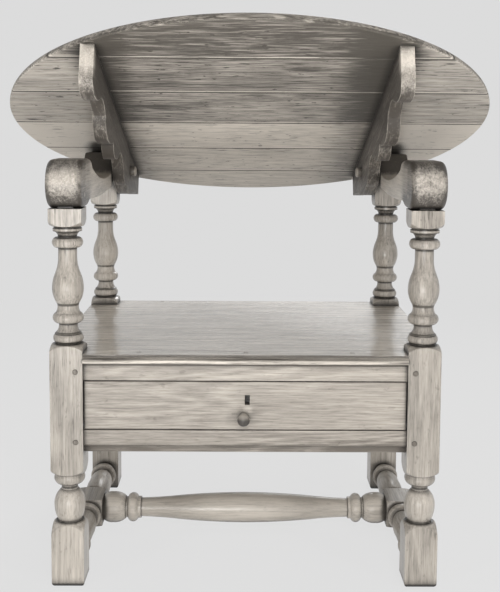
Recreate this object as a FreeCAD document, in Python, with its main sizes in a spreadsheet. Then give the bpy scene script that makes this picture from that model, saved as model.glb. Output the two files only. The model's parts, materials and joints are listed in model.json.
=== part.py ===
"""Chair table: a joined oak seat whose round top tips up on two pins to make a chair back.

Millimetres. +Z is up and the front faces -Y. The origin is on the floor, at the centre
of the four feet. The top and its battens are drawn about their pivot, lying flat, and
are then placed half raised.
"""

import FreeCAD, Part
import math
import os

import Sketcher

SIZES = {
    # Frame of four posts
    "post_span": 577,  # between post axes, left to right
    "post_depth": 448,  # between post axes, front to back
    "post_size": 53,  # square of the post
    "foot_height": 84,  # square foot under the ball
    "foot_round": 8,  # worn edge under the foot
    "block_low": 186,  # underside of the block that takes the rails
    "block_rise": 14.5,  # top of that block over the seat
    "capital_low": 591,  # underside of the small block under the arm
    "shoulder_rise": 14,  # turned shoulder that runs out at a block's corners
    "foot_corner": 9,  # the foot's corners below its shoulder
    # Turned work on the posts
    "ring_dia": 50,
    "ring_height": 16,
    "neck_dia": 30.5,
    "neck_length": 16,
    "belly_dia": 51,
    "belly_rise": 23.5,  # from the vase's foot to its widest place
    "vase_foot_dia": 36,
    "bead_dia": 49,
    "bead_height": 15.5,
    "cove_height": 15.5,
    "collar_height": 15,
    "cup_height": 17,  # hollowed cup under the capital
    "cup_dia": 47,
    "ball_dia": 51,
    "ball_foot_dia": 39,
    "ball_height": 51,
    "ankle_dia": 27,
    "ankle_length": 10,
    "foot_shoulder": 22,  # rounded shoulder over the square foot
    # Joints of the frame
    "tenon_length": 28,
    "tenon_thick": 10,
    "tenon_shoulder": 4,  # how much lower the tenon is than its rail, each way
    "post_tenon_wide": 24,
    "post_tenon_deep": 38,
    "post_tenon_high": 42,
    "peg_dia": 8,
    "peg_inset": 12,  # from the joint's shoulder to the peg
    "peg_length": 31,
    "peg_proud": 0.8,
    "fit_gap": 0.2,
    # Rails
    "rail_thick": 22,
    "rail_setback": 6,  # behind the face of the post
    "upper_rail": 29,
    "drawer_opening": 82,
    "lower_rail": 38,
    "rail_moulding": 13,
    # Seat
    "seat_height": 388,
    "seat_thick": 15,
    "seat_nosing": 5,  # in front of the post's face
    "seat_front_board": 118,
    "seat_joint_gap": 0.4,
    "seat_peg_grip": 12,  # how far a seat peg goes into the rail
    # Arms
    "arm_top": 699.5,
    "arm_width": 57,
    "arm_ease": 8,  # rounded arris of the knuckle
    "block_ease": 2.5,  # rounded arris of the rear block
    "knuckle_height": 78,
    "knuckle_reach": 17,  # in front of the post's face
    "knuckle_length": 50,  # flat top behind the post's axis
    "arm_dip": 40,  # hollow of the arm below its top
    "arm_belly": 66,  # underside of the hollowed stretch below the top
    "rear_block": 57,  # height of the arm over the rear post
    "rear_block_length": 74,  # flat top ahead of the pivot
    # Pivot
    "pivot_drop": 39.5,  # pivot below the arm's top
    "rest_gap": 0.3,  # between arm and top when the top is down
    "rest_tilt": 19.8,  # degrees that the top is raised at rest
    "pin_dia": 20,
    "pin_gap": 0.05,  # running clearance of the batten on the pin, on the radius
    "pin_proud": 12,
    # Round top
    "top_dia": 880,
    "top_thick": 15,
    "top_forward": 187,  # centre of the top ahead of the pivot
    "top_aside": 6,  # centre of the top to the right of the frame's middle
    "rim_round": 12,
    "rim_ease": 1.5,
    "front_board": 142,
    "second_board": 147,
    "third_board": 155,
    "fourth_board": 150,
    "fifth_board": 152,
    "sixth_board": 134,  # the six together make the diameter
    "board_gap": 0.5,
    "board_arris": 1.2,  # eased arris along the joints, underneath
    "top_peg_dia": 9,
    "top_peg_length": 40,
    # Battens under the top
    "batten_thick": 22,
    "batten_gap": 1.5,  # between batten and arm
    "batten_front_gap": 1,  # from the rim
    "batten_rear_gap": 6,  # from the rim
    "batten_nose": 52,
    "nose_depth": 76,
    "lobe_depth": 90,
    "tail_depth": 44,
    "notch_depth": 56,
    "first_notch": 88,  # behind the batten's front end
    "second_notch": 263,
    "third_notch": 348,
    "pivot_lobe": 118,  # ahead of the pivot
    # Stretchers
    "stretcher_height": 39,
    "stretcher_block": 50,
    "stretcher_block_length": 66,
    "stretcher_dia": 42,
    "stretcher_ring": 50,
    "stretcher_neck": 30,
    "medial_dia": 55,
    "medial_ring": 53,
    "medial_neck": 34,
    "medial_bulb": 56,
    "round_tenon_dia": 22,
    "round_tenon_length": 24,
    # Drawer
    "drawer_gap": 1.5,
    "drawer_front_thick": 22,
    "drawer_side_thick": 14,
    "drawer_back_thick": 12,
    "drawer_bottom_thick": 9,
    "drawer_lap": 12,  # rebate of the front that takes the sides
    "drawer_drop": 6,  # sides below the top of the front
    "drawer_tail_gap": 24,  # behind the drawer, to the rear rail
    "runner_height": 14,
    "runner_gap": 0.3,
    "groove_depth": 8,
    "groove_floor_gap": 1,
    "groove_stop": 16,  # uncut wood between groove and front
    # Lock and knob
    "lock_width": 70,
    "lock_height": 46,
    "lock_thick": 9,
    "bolt_width": 24,
    "bolt_thick": 4,
    "bolt_height": 32,
    "bolt_gap": 0.2,
    "bolt_mortise": 12,
    "keyhole_wide": 8,
    "keyhole_high": 16,
    "keyhole_below_top": 22,
    "keyhole_aside": 3,  # to the right of the drawer's middle
    "knob_dia": 20,
    "knob_reach": 24,
    "knob_below_top": 59,
    "knob_shank_dia": 8,
    "knob_aside": 3,  # to the left of the drawer's middle
}

BEAD = 0.6  # bulge of a bead: its swell is 0.3 of its height
SWELL = 0.3
QUARTER_ROUND = math.tan(math.pi / 8)
OVERCUT = 2  # how far a cut runs out past the face it starts from

document = FreeCAD.newDocument("ChairTable")
sheet = document.addObject("Spreadsheet::Sheet", "Sizes")
for row, (alias, number) in enumerate(SIZES.items(), start=1):
    sheet.set(f"A{row}", alias)
    sheet.set(f"B{row}", str(number))
    sheet.setAlias(f"B{row}", alias)
document.recompute()


class Dim:
    """A size with its value in millimetres and its formula in terms of the sheet."""

    def __init__(self, value, text):
        self.value = value
        self.text = text

    def __add__(self, other):
        other = as_dim(other)
        return Dim(self.value + other.value, f"({self.text} + {other.text})")

    def __sub__(self, other):
        other = as_dim(other)
        return Dim(self.value - other.value, f"({self.text} - {other.text})")

    def __mul__(self, other):
        other = as_dim(other)
        return Dim(self.value * other.value, f"({self.text} * {other.text})")

    def __truediv__(self, other):
        other = as_dim(other)
        return Dim(self.value / other.value, f"({self.text} / {other.text})")

    def __neg__(self):
        return Dim(-self.value, f"(0 - {self.text})")

    __radd__ = __add__
    __rmul__ = __mul__

    def __rsub__(self, other):
        return as_dim(other) - self

    def root(self):
        return Dim(math.sqrt(self.value), f"sqrt({self.text})")


def as_dim(number):
    if isinstance(number, Dim):
        return number
    return Dim(float(number), f"({number})")


def size(alias):
    return Dim(float(sheet.get(alias)), f"Sizes.{alias}")


# Sketches and features

NODES = []
PLANES = {"X": "YZ_Plane", "Y": "XZ_Plane", "Z": "XY_Plane"}


def new_body(label):
    body = document.addObject("PartDesign::Body", label)
    body.Label = label
    NODES.append(body)
    return body


def place(body, x=0, y=0, z=0, axis=None, angle=None):
    """Puts a body in the frame, turned about an axis through its own origin."""
    if axis is not None:
        turn = FreeCAD.Rotation(FreeCAD.Vector(*axis), as_dim(angle).value)
        body.Placement = FreeCAD.Placement(FreeCAD.Vector(), turn)
        body.setExpression("Placement.Rotation.Angle", as_dim(angle).text)
    for name, offset in (("x", x), ("y", y), ("z", z)):
        body.setExpression(f"Placement.Base.{name}", as_dim(offset).text)


def new_sketch(body, axis, offset):
    """A sketch square to an axis of the body, offset along that plane's normal."""
    sketch = body.newObject("Sketcher::SketchObject", "Outline")
    planes = body.Origin.OriginFeatures
    support = next(plane for plane in planes if plane.Role == PLANES[axis])
    sketch.AttachmentSupport = [(support, "")]
    sketch.MapMode = "FlatFace"
    sketch.setExpression("AttachmentOffset.Base.z", as_dim(offset).text)
    return sketch


def pin_point(sketch, geometry, position, point):
    """Ties a point of the sketch to its place, measured from the origin."""
    for kind, distance in zip(("DistanceX", "DistanceY"), point):
        distance = as_dim(distance)
        index = sketch.addConstraint(
            Sketcher.Constraint(kind, -1, 1, geometry, position, distance.value)
        )
        sketch.setExpression(f"Constraints[{index}]", distance.text)


def arc_of(start, end, bulge):
    """The circle through two points whose quarter angle has the given tangent."""
    chord_x = end[0] - start[0]
    chord_y = end[1] - start[1]
    chord = (chord_x * chord_x + chord_y * chord_y).root()
    radius = chord * ((1 + bulge * bulge) / (4 * abs(bulge)))
    reach = (1 - bulge * bulge) / (4 * bulge)
    centre = FreeCAD.Vector(
        (start[0].value + end[0].value) / 2 - chord_y.value * reach,
        (start[1].value + end[1].value) / 2 + chord_x.value * reach,
    )
    first, last = (start, end) if bulge > 0 else (end, start)
    angles = [
        math.atan2(point[1].value - centre.y, point[0].value - centre.x)
        for point in (first, last)
    ]
    circle = Part.Circle(centre, FreeCAD.Vector(0, 0, 1), radius.value)
    return Part.ArcOfCircle(circle, *angles), radius


def draw_outline(sketch, corners):
    """A closed outline of corners (x, y) or (x, y, bulge of the arc to the next)."""
    points = [(as_dim(corner[0]), as_dim(corner[1])) for corner in corners]
    bulges = [corner[2] if len(corner) > 2 else 0 for corner in corners]
    ends = []
    for index, (start, bulge) in enumerate(zip(points, bulges)):
        end = points[(index + 1) % len(points)]
        if bulge:
            arc, radius = arc_of(start, end, bulge)
            geometry = sketch.addGeometry(arc)
            rule = sketch.addConstraint(Sketcher.Constraint("Radius", geometry, radius.value))
            sketch.setExpression(f"Constraints[{rule}]", radius.text)
        else:
            vectors = [FreeCAD.Vector(x.value, y.value) for x, y in (start, end)]
            geometry = sketch.addGeometry(Part.LineSegment(*vectors))
        ends.append((geometry, 1, 2) if bulge >= 0 else (geometry, 2, 1))
    for index, (geometry, first, last) in enumerate(ends):
        after = ends[(index + 1) % len(ends)]
        sketch.addConstraint(Sketcher.Constraint("Coincident", geometry, last, after[0], after[1]))
        pin_point(sketch, geometry, first, points[index])


def draw_circle(sketch, x, y, diameter):
    diameter = as_dim(diameter)
    centre = FreeCAD.Vector(as_dim(x).value, as_dim(y).value)
    up = FreeCAD.Vector(0, 0, 1)
    geometry = sketch.addGeometry(Part.Circle(centre, up, diameter.value / 2))
    rule = sketch.addConstraint(Sketcher.Constraint("Diameter", geometry, diameter.value))
    sketch.setExpression(f"Constraints[{rule}]", diameter.text)
    pin_point(sketch, geometry, 3, (x, y))


def rectangle(x_low, x_high, y_low, y_high):
    return [(x_low, y_low), (x_high, y_low), (x_high, y_high), (x_low, y_high)]


def extrude(body, axis, low, high, outlines=(), circles=(), cut=False):
    """A pad, or a pocket, between two places on an axis of the body."""
    low, high = as_dim(low), as_dim(high)
    sketch = new_sketch(body, axis, -high if axis == "Y" else low)
    for outline in outlines:
        draw_outline(sketch, outline)
    for circle in circles:
        draw_circle(sketch, *circle)
    kind = "PartDesign::Pocket" if cut else "PartDesign::Pad"
    feature = body.newObject(kind, "Cut" if cut else "Blank")
    feature.Profile = sketch
    feature.Reversed = cut
    feature.setExpression("Length", (high - low).text)
    return finish(body, feature, cut)


def turn(body, outline, cut=False):
    """A revolution, or a groove, about the body's Z axis."""
    sketch = new_sketch(body, "Y", 0)
    draw_outline(sketch, outline)
    kind = "PartDesign::Groove" if cut else "PartDesign::Revolution"
    feature = body.newObject(kind, "Turning")
    feature.Profile = sketch
    feature.ReferenceAxis = (sketch, ["V_Axis"])
    feature.Angle = 360
    return finish(body, feature, cut)


def finish(body, feature, cut):
    """Recomputes a feature and makes sure that a cut takes wood away."""
    base = feature.BaseFeature
    document.recompute()
    if cut and feature.Shape.Volume >= base.Shape.Volume - 1e-6:
        raise RuntimeError(f"{body.Label}: {feature.Name} cuts nothing")
    body.Tip = feature
    return feature


def ease(body, radius, chosen):
    """Rounds the edges of the body that the test chooses."""
    base = body.Tip
    edges = enumerate(base.Shape.Edges, start=1)
    names = [f"Edge{number}" for number, edge in edges if chosen(edge)]
    fillet = body.newObject("PartDesign::Fillet", "Ease")
    fillet.Base = (base, names)
    fillet.setExpression("Radius", radius.text)
    document.recompute()
    body.Tip = fillet


def group(label, solids):
    """One node of several like pieces."""
    compound = document.addObject("Part::Compound", label)
    compound.Label = label
    compound.Links = solids
    NODES.append(compound)
    return compound


TURNS = {
    "X": FreeCAD.Rotation(FreeCAD.Vector(0, 1, 0), 90),
    "Y": FreeCAD.Rotation(FreeCAD.Vector(1, 0, 0), -90),
    "Z": FreeCAD.Rotation(),
}


def peg(x, y, z, axis, diameter, length):
    """A round peg that starts at a point and runs along +X, +Y or +Z."""
    cylinder = document.addObject("Part::Cylinder", "Peg")
    cylinder.Placement.Rotation = TURNS[axis]
    cylinder.setExpression("Radius", (diameter / 2).text)
    cylinder.setExpression("Height", length.text)
    for name, offset in (("x", x), ("y", y), ("z", z)):
        cylinder.setExpression(f"Placement.Base.{name}", as_dim(offset).text)
    return cylinder


# Places that several pieces share

HALF_SPAN = size("post_span") / 2
HALF_DEPTH = size("post_depth") / 2
HALF_POST = size("post_size") / 2
BLOCK_HIGH = size("seat_height") + size("block_rise")
SEAT_UNDER = size("seat_height") - size("seat_thick")
UPPER_RAIL_LOW = SEAT_UNDER - size("upper_rail")
OPENING_LOW = UPPER_RAIL_LOW - size("drawer_opening")
APRON_LOW = OPENING_LOW - size("lower_rail")
RAIL_OUTER = HALF_POST - size("rail_setback")
RAIL_MIDDLE = RAIL_OUTER - size("rail_thick") / 2
PIVOT_HEIGHT = size("arm_top") - size("pivot_drop")
UNDERSIDE = size("pivot_drop") + size("rest_gap")
ARM_INNER = HALF_SPAN - size("arm_width") / 2
BATTEN_OUTER = ARM_INNER - size("batten_gap")
BATTEN_INNER = BATTEN_OUTER - size("batten_thick")
CROSS_RUN = size("post_span") - size("post_size")
SIDE_RUN = size("post_depth") - size("post_size")
BOLT_BACK = size("drawer_front_thick") - size("lock_thick") / 2
LOCK_X = size("keyhole_aside")
SEAT_PEG_X = HALF_SPAN * 0.6
SIDES = {"left": -1, "right": 1}
ROWS = {"front": -1, "rear": 1}


def rail_pegs_between(low, high):
    """Heights of the pegs through a rail's tenon: one in a low rail, two in a deep one."""
    if (high - low).value < 2 * size("post_size").value:
        return [(low + high) / 2]
    quarter = (high - low) / 4
    return [low + quarter, high - quarter]


CROSS_RAILS = {
    "front": [(UPPER_RAIL_LOW, SEAT_UNDER), (APRON_LOW, OPENING_LOW)],
    "rear": [(APRON_LOW, SEAT_UNDER)],
}
SIDE_RAIL = (APRON_LOW, SEAT_UNDER)


def tenon_span(rail):
    """Low and high edge of a rail's tenon."""
    return rail[0] + size("tenon_shoulder"), rail[1] - size("tenon_shoulder")


# Posts


def post_turning():
    """The turned vase between the rail block and the capital, with its rings."""
    outside = size("post_size") * 0.75
    ring = size("ring_dia") / 2 - size("ring_height") * SWELL
    bead = size("bead_dia") / 2 - size("bead_height") * SWELL
    neck = size("neck_dia") / 2
    vase_foot = size("vase_foot_dia") / 2
    belly = size("belly_dia") / 2
    low = BLOCK_HIGH
    bead_top = low + size("bead_height")
    ring_low = bead_top + size("cove_height") + 2
    ring_top = ring_low + size("ring_height")
    vase_low = ring_top + size("collar_height")
    belly_height = vase_low + size("belly_rise")
    high = size("capital_low")
    cup_low = high - size("cup_height")
    upper_ring_low = cup_low - size("ring_height")
    neck_low = upper_ring_low - size("neck_length")
    step = cup_low + size("cup_height") * 0.6
    cup = size("cup_dia") / 2
    return [
        (outside, low - size("shoulder_rise"), 0.2),
        (bead, low, BEAD),
        (bead, bead_top),
        (bead + 2, bead_top, -0.3),
        (neck, ring_low - 2),
        (neck, ring_low),
        (ring, ring_low, BEAD),
        (ring, ring_top, -0.25),
        (vase_foot, vase_low, 0.131),
        (belly, belly_height, 0.106),
        ((belly + neck) / 2, (belly_height + neck_low) / 2, -0.102),
        (neck, neck_low),
        (neck, upper_ring_low),
        (ring, upper_ring_low, BEAD),
        (ring, cup_low),
        (neck, cup_low),
        (neck, cup_low + 2, -0.2),
        (cup - 2.5, step),
        (cup, step),
        (cup, high - 2),
        (cup - 2, high - 2),
        (cup - 2, high, 0.2),
        (outside, high + size("shoulder_rise")),
    ]


def ankle_turning():
    """The turned ball between the foot and the rail block."""
    outside = size("post_size") * 0.75
    low = size("foot_height")
    ball_low = low + size("foot_shoulder") + 2
    ball_top = ball_low + size("ball_height")
    ball = size("ball_dia") / 2
    ball_foot = size("ball_foot_dia") / 2
    ankle = size("ankle_dia") / 2
    step_low = ball_top + size("ankle_length")
    step = size("bead_dia") / 2
    return [
        (outside, low - size("foot_corner"), 0.25),
        (ball_foot + 3, ball_low - 2),
        (ball_foot, ball_low - 2),
        (ball_foot, ball_low, 0.116),
        (ball, ball_low + size("ball_height") / 2, 0.232),
        (ankle, ball_top, -0.1),
        (ankle + 0.5, step_low),
        (step - 4, step_low, 0.35),
        (step, size("block_low") - 4),
        (step, size("block_low"), 0.2),
        (outside, size("block_low") + size("shoulder_rise")),
    ]


def make_post(row_name, side_name):
    """A post: squared, turned between its blocks, mortised, bored and tenoned."""
    row = ROWS[row_name]
    side = SIDES[side_name]
    body = new_body(f"{row_name}_{side_name}_post")
    arm_depth = size("knuckle_height") if row_name == "front" else size("rear_block")
    shoulder = size("arm_top") - arm_depth
    square = rectangle(-HALF_POST, HALF_POST, -HALF_POST, HALF_POST)
    extrude(body, "Z", 0, shoulder, [square])
    ease(body, size("foot_round"), lambda edge: edge.BoundBox.ZMax < 1e-3)
    turn(body, post_turning(), cut=True)
    turn(body, ankle_turning(), cut=True)
    wide = size("post_tenon_wide") / 2
    deep = size("post_tenon_deep") / 2
    tenon = rectangle(-wide, wide, -deep, deep)
    extrude(body, "Z", shoulder, shoulder + size("post_tenon_high"), [tenon])
    half_tenon = size("tenon_thick") / 2
    depth = size("tenon_length") + size("fit_gap")
    mouth = HALF_POST + OVERCUT
    inward = HALF_POST - depth
    cross_middle = RAIL_MIDDLE * row
    cross_mortises = [
        rectangle(cross_middle - half_tenon, cross_middle + half_tenon, *tenon_span(rail))
        for rail in CROSS_RAILS[row_name]
    ]
    cross_reach = (inward, mouth) if side < 0 else (-mouth, -inward)
    extrude(body, "X", *cross_reach, cross_mortises, cut=True)
    side_middle = RAIL_MIDDLE * side
    side_mortise = rectangle(side_middle - half_tenon, side_middle + half_tenon, *tenon_span(SIDE_RAIL))
    side_reach = (inward, mouth) if row < 0 else (-mouth, -inward)
    extrude(body, "Y", *side_reach, [side_mortise], cut=True)
    hole = size("peg_dia") + size("fit_gap")
    peg_line = HALF_POST - size("peg_inset")
    bored = size("peg_length") - size("peg_proud") + size("fit_gap")
    cross_pegs = [
        (peg_line * -side, height, hole)
        for rail in CROSS_RAILS[row_name]
        for height in rail_pegs_between(*rail)
    ]
    cross_bore = (-mouth, bored - HALF_POST) if row < 0 else (HALF_POST - bored, mouth)
    extrude(body, "Y", *cross_bore, circles=cross_pegs, cut=True)
    side_pegs = [(peg_line * -row, height, hole) for height in rail_pegs_between(*SIDE_RAIL)]
    side_bore = (-mouth, bored - HALF_POST) if side < 0 else (HALF_POST - bored, mouth)
    extrude(body, "X", *side_bore, circles=side_pegs, cut=True)
    socket = (0, size("stretcher_height"), size("round_tenon_dia") + size("fit_gap"))
    socket_floor = HALF_POST - size("round_tenon_length") - size("fit_gap")
    socket_reach = (socket_floor, mouth) if row < 0 else (-mouth, -socket_floor)
    extrude(body, "Y", *socket_reach, circles=[socket], cut=True)
    if row_name == "rear":
        pin_hole = (0, PIVOT_HEIGHT, size("pin_dia") + size("fit_gap"))
        extrude(body, "X", -mouth, mouth, circles=[pin_hole], cut=True)
    else:
        arm_peg = (0, shoulder + size("post_tenon_high") / 2, hole)
        extrude(body, "X", -mouth, mouth, circles=[arm_peg], cut=True)
    place(body, HALF_SPAN * side, HALF_DEPTH * row)
    return body


# Arms


def arm_outline():
    """Side of an arm: round knuckle, hollowed back, raised block round the pivot."""
    top = size("arm_top")
    low = top - size("knuckle_height")
    nose = size("knuckle_height") / 2 - HALF_POST - size("knuckle_reach")
    rear = size("post_depth")
    block_low = top - size("rear_block")
    block_front = rear - size("rear_block_length")
    belly = top - size("arm_belly")
    hollow = top - size("arm_dip")
    back = rear + size("pivot_drop")
    heel = size("rear_block") - size("pivot_drop")
    return [
        (nose, low),
        (HALF_POST + 3, low, -0.25),
        (HALF_POST + 48, belly - 3, 0.03),
        (rear - 120, belly + 4, -0.2),
        (rear - HALF_POST - 32, block_low),
        (back - heel, block_low, QUARTER_ROUND),
        (back, PIVOT_HEIGHT, QUARTER_ROUND),
        (rear, top),
        (block_front, top),
        (block_front - 18, top - 13, -0.15),
        (block_front - 46, hollow + 3, -0.116),
        (size("knuckle_length") + 34, hollow + 22, 0.15),
        (size("knuckle_length"), top),
        (nose, top, QUARTER_ROUND),
        (nose - size("knuckle_height") / 2, (top + low) / 2, QUARTER_ROUND),
    ]


def lies_flat(edge):
    """Whether an edge runs round the side of an arm."""
    return edge.BoundBox.XLength < 1e-3


def make_arm(side_name):
    """An arm, mortised for both posts, pegged at the front and bored for the pivot."""
    body = new_body(f"{side_name}_arm")
    half = size("arm_width") / 2
    extrude(body, "X", -half, half, [arm_outline()])
    knuckle_end = size("knuckle_length").value + 1
    block_start = (size("post_depth") - size("rear_block_length")).value - 1
    ease(body, size("arm_ease"), lambda edge: lies_flat(edge) and edge.BoundBox.YMax < knuckle_end)
    ease(body, size("block_ease"), lambda edge: lies_flat(edge) and edge.BoundBox.YMin > block_start)
    gap = size("fit_gap")
    wide = size("post_tenon_wide") / 2 + gap
    deep = size("post_tenon_deep") / 2 + gap
    for y, depth in ((0, size("knuckle_height")), (size("post_depth"), size("rear_block"))):
        seat = size("arm_top") - depth
        mortise = rectangle(-wide, wide, y - deep, y + deep)
        extrude(body, "Z", seat - OVERCUT, seat + size("post_tenon_high") + gap, [mortise], cut=True)
    peg_height = size("arm_top") - size("knuckle_height") + size("post_tenon_high") / 2
    bores = [
        (0, peg_height, size("peg_dia") + gap),
        (size("post_depth"), PIVOT_HEIGHT, size("pin_dia") + gap),
    ]
    extrude(body, "X", -half - OVERCUT, half + OVERCUT, circles=bores, cut=True)
    place(body, HALF_SPAN * SIDES[side_name], -HALF_DEPTH)
    return body


def make_pivot_pin(side_name):
    """The pin that the top turns on, with a rounded end inside the batten."""
    side = SIDES[side_name]
    body = new_body(f"{side_name}_pivot_pin")
    radius = size("pin_dia") / 2
    length = HALF_SPAN + size("arm_width") / 2 - BATTEN_INNER + size("pin_proud") + size("peg_proud")
    dome = radius / 3
    outline = [
        (0, 0),
        (radius - 1, 0),
        (radius, 1),
        (radius, length - dome, 0.3),
        (radius / 2, length),
        (0, length),
    ]
    turn(body, outline)
    outer = HALF_SPAN + size("arm_width") / 2 + size("peg_proud")
    place(body, outer * side, HALF_DEPTH, PIVOT_HEIGHT, (0, -side, 0), 90)
    return body


# Rails and seat


def make_rail(label, run, rail, outward):
    """A rail with a tenon at each end, drawn along X with its outer face at -Y or +Y."""
    body = new_body(label)
    half_run = run / 2
    half_thick = size("rail_thick") / 2
    extrude(body, "Z", *rail, [rectangle(-half_run, half_run, -half_thick, half_thick)])
    half_tenon = size("tenon_thick") / 2
    reach = half_run + size("tenon_length")
    tenons = rectangle(-reach, reach, -half_tenon, half_tenon)
    extrude(body, "Z", *tenon_span(rail), [tenons])
    peg_x = half_run + size("peg_inset")
    hole = size("peg_dia") + size("fit_gap")
    holes = [(x, z, hole) for x in (-peg_x, peg_x) for z in rail_pegs_between(*rail)]
    extrude(body, "Y", -half_thick, half_thick, circles=holes, cut=True)
    if label in ("front_upper_rail", "rear_rail"):
        seat_holes = [(SEAT_PEG_X * place_x, 0, hole) for place_x in (-1, 0, 1)]
        floor = rail[1] - size("seat_peg_grip") - size("fit_gap")
        extrude(body, "Z", floor, rail[1] + OVERCUT, circles=seat_holes, cut=True)
    if label == "front_lower_rail":
        face = half_thick * outward
        top = rail[0] + size("rail_moulding")
        moulding = [
            (face + outward * OVERCUT, top),
            (face - outward * 2, top),
            (face - outward * 3, top - 2, 0.25 * outward),
            (face - outward * 8, rail[0]),
            (face - outward * 8, rail[0] - OVERCUT),
            (face + outward * OVERCUT, rail[0] - OVERCUT),
        ]
        extrude(body, "X", -half_run, half_run, [moulding], cut=True)
    if label == "front_upper_rail":
        half_width = size("bolt_width") / 2 + size("bolt_gap")
        plane = half_thick * outward - BOLT_BACK * outward
        half_slot = size("bolt_thick") / 2 + size("bolt_gap")
        slot = rectangle(LOCK_X - half_width, LOCK_X + half_width, plane - half_slot, plane + half_slot)
        extrude(body, "Z", rail[0] - OVERCUT, rail[0] + size("bolt_mortise"), [slot], cut=True)
    return body


def make_rails():
    """The five rails that tie the posts together under the seat."""
    upper, lower = CROSS_RAILS["front"]
    rear = CROSS_RAILS["rear"][0]
    rails = []
    for label, rail, row in (
        ("front_upper_rail", upper, -1),
        ("front_lower_rail", lower, -1),
        ("rear_rail", rear, 1),
    ):
        body = make_rail(label, CROSS_RUN, rail, row)
        place(body, 0, (HALF_DEPTH + RAIL_MIDDLE) * row)
        rails.append(body)
    for side_name, side in SIDES.items():
        body = make_rail(f"{side_name}_side_rail", SIDE_RUN, SIDE_RAIL, side)
        place(body, (HALF_SPAN + RAIL_MIDDLE) * side, 0, 0, (0, 0, 1), 90)
        rails.append(body)
    return rails


SEAT_JOINT = -HALF_DEPTH - HALF_POST - size("seat_nosing") + size("seat_front_board")
SEAT_INNER = HALF_SPAN - HALF_POST - size("fit_gap")
SEAT_OUTER = HALF_SPAN + HALF_POST
SEAT_NOTCH = HALF_DEPTH - HALF_POST - size("fit_gap")
SEAT_FRONT = -HALF_DEPTH - HALF_POST - size("seat_nosing")
SEAT_REAR = HALF_DEPTH + RAIL_OUTER


def seat_peg_rows():
    """Plan places of the pegs that hold the seat to the front and rear rails."""
    line = HALF_DEPTH + RAIL_MIDDLE
    return {row: [(SEAT_PEG_X * side, line * row) for side in (-1, 0, 1)] for row in (-1, 1)}


def make_seat():
    """Two boards notched round the posts; the front one has a moulded edge."""
    hole = size("peg_dia") + size("fit_gap")
    joint = size("seat_joint_gap") / 2
    boards = {
        "seat_front_board": (-1, [
            (-SEAT_INNER, SEAT_FRONT),
            (SEAT_INNER, SEAT_FRONT),
            (SEAT_INNER, -SEAT_NOTCH),
            (SEAT_OUTER, -SEAT_NOTCH),
            (SEAT_OUTER, SEAT_JOINT - joint),
            (-SEAT_OUTER, SEAT_JOINT - joint),
            (-SEAT_OUTER, -SEAT_NOTCH),
            (-SEAT_INNER, -SEAT_NOTCH),
        ]),
        "seat_rear_board": (1, [
            (-SEAT_OUTER, SEAT_JOINT + joint),
            (SEAT_OUTER, SEAT_JOINT + joint),
            (SEAT_OUTER, SEAT_NOTCH),
            (SEAT_INNER, SEAT_NOTCH),
            (SEAT_INNER, SEAT_REAR),
            (-SEAT_INNER, SEAT_REAR),
            (-SEAT_INNER, SEAT_NOTCH),
            (-SEAT_OUTER, SEAT_NOTCH),
        ]),
    }
    bodies = []
    for label, (row, outline) in boards.items():
        body = new_body(label)
        top = size("seat_height")
        extrude(body, "Z", SEAT_UNDER, top, [outline])
        holes = [(x, y, hole) for x, y in seat_peg_rows()[row]]
        extrude(body, "Z", SEAT_UNDER - OVERCUT, top + OVERCUT, circles=holes, cut=True)
        if row < 0:
            air = SEAT_FRONT - OVERCUT
            lip = size("seat_thick") * 0.1
            hollow = size("seat_thick") * 0.52
            bead = size("seat_thick") * 0.22
            upper = [
                (air, top + OVERCUT),
                (SEAT_FRONT + 2.5, top + OVERCUT),
                (SEAT_FRONT + 2.5, top - lip),
                (SEAT_FRONT + 7, top - lip - 0.5, -0.3),
                (SEAT_FRONT + 2.2, top - hollow),
                (SEAT_FRONT + 2.2, SEAT_UNDER + bead * 2, 0.4),
                (SEAT_FRONT, SEAT_UNDER + bead),
                (air, SEAT_UNDER + bead),
            ]
            lower = [
                (air, SEAT_UNDER - OVERCUT),
                (air, SEAT_UNDER + bead),
                (SEAT_FRONT, SEAT_UNDER + bead, 0.4),
                (SEAT_FRONT + 2.2, SEAT_UNDER),
                (SEAT_FRONT + 2.2, SEAT_UNDER - OVERCUT),
            ]
            for moulding in (upper, lower):
                extrude(body, "X", -SEAT_OUTER, SEAT_OUTER, [moulding], cut=True)
        bodies.append(body)
    return bodies


# Stretchers


def stretcher_turning(end):
    """One turned half of a side stretcher, from its centre block to its tenon."""
    outside = size("stretcher_block") * 0.75
    block = size("stretcher_block_length") / 2
    foot = SIDE_RUN / 2
    tip = foot + size("round_tenon_length")
    ring = size("stretcher_ring") / 2 - 12 * SWELL
    neck = size("stretcher_neck") / 2
    swell = size("stretcher_dia") / 2
    tenon = size("round_tenon_dia") / 2
    middle = (block + foot) / 2
    contour = [
        (outside, block - 5, 0.2),
        (ring, block + 2),
        (neck, block + 4),
        (neck, block + 8),
        (ring, block + 8, BEAD),
        (ring, block + 20),
        (neck, block + 21, 0.12),
        (swell, middle, 0.12),
        (neck, foot - 36),
        (ring, foot - 35, BEAD),
        (ring, foot - 23),
        (neck, foot - 22, -0.2),
        (neck + 3, foot - 8, 0.2),
        (neck + 1, foot),
        (tenon, foot),
        (tenon, tip + OVERCUT),
        (outside, tip + OVERCUT),
    ]
    return [(r, z * end, *(bulge * end for bulge in bulges)) for r, z, *bulges in contour]


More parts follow.
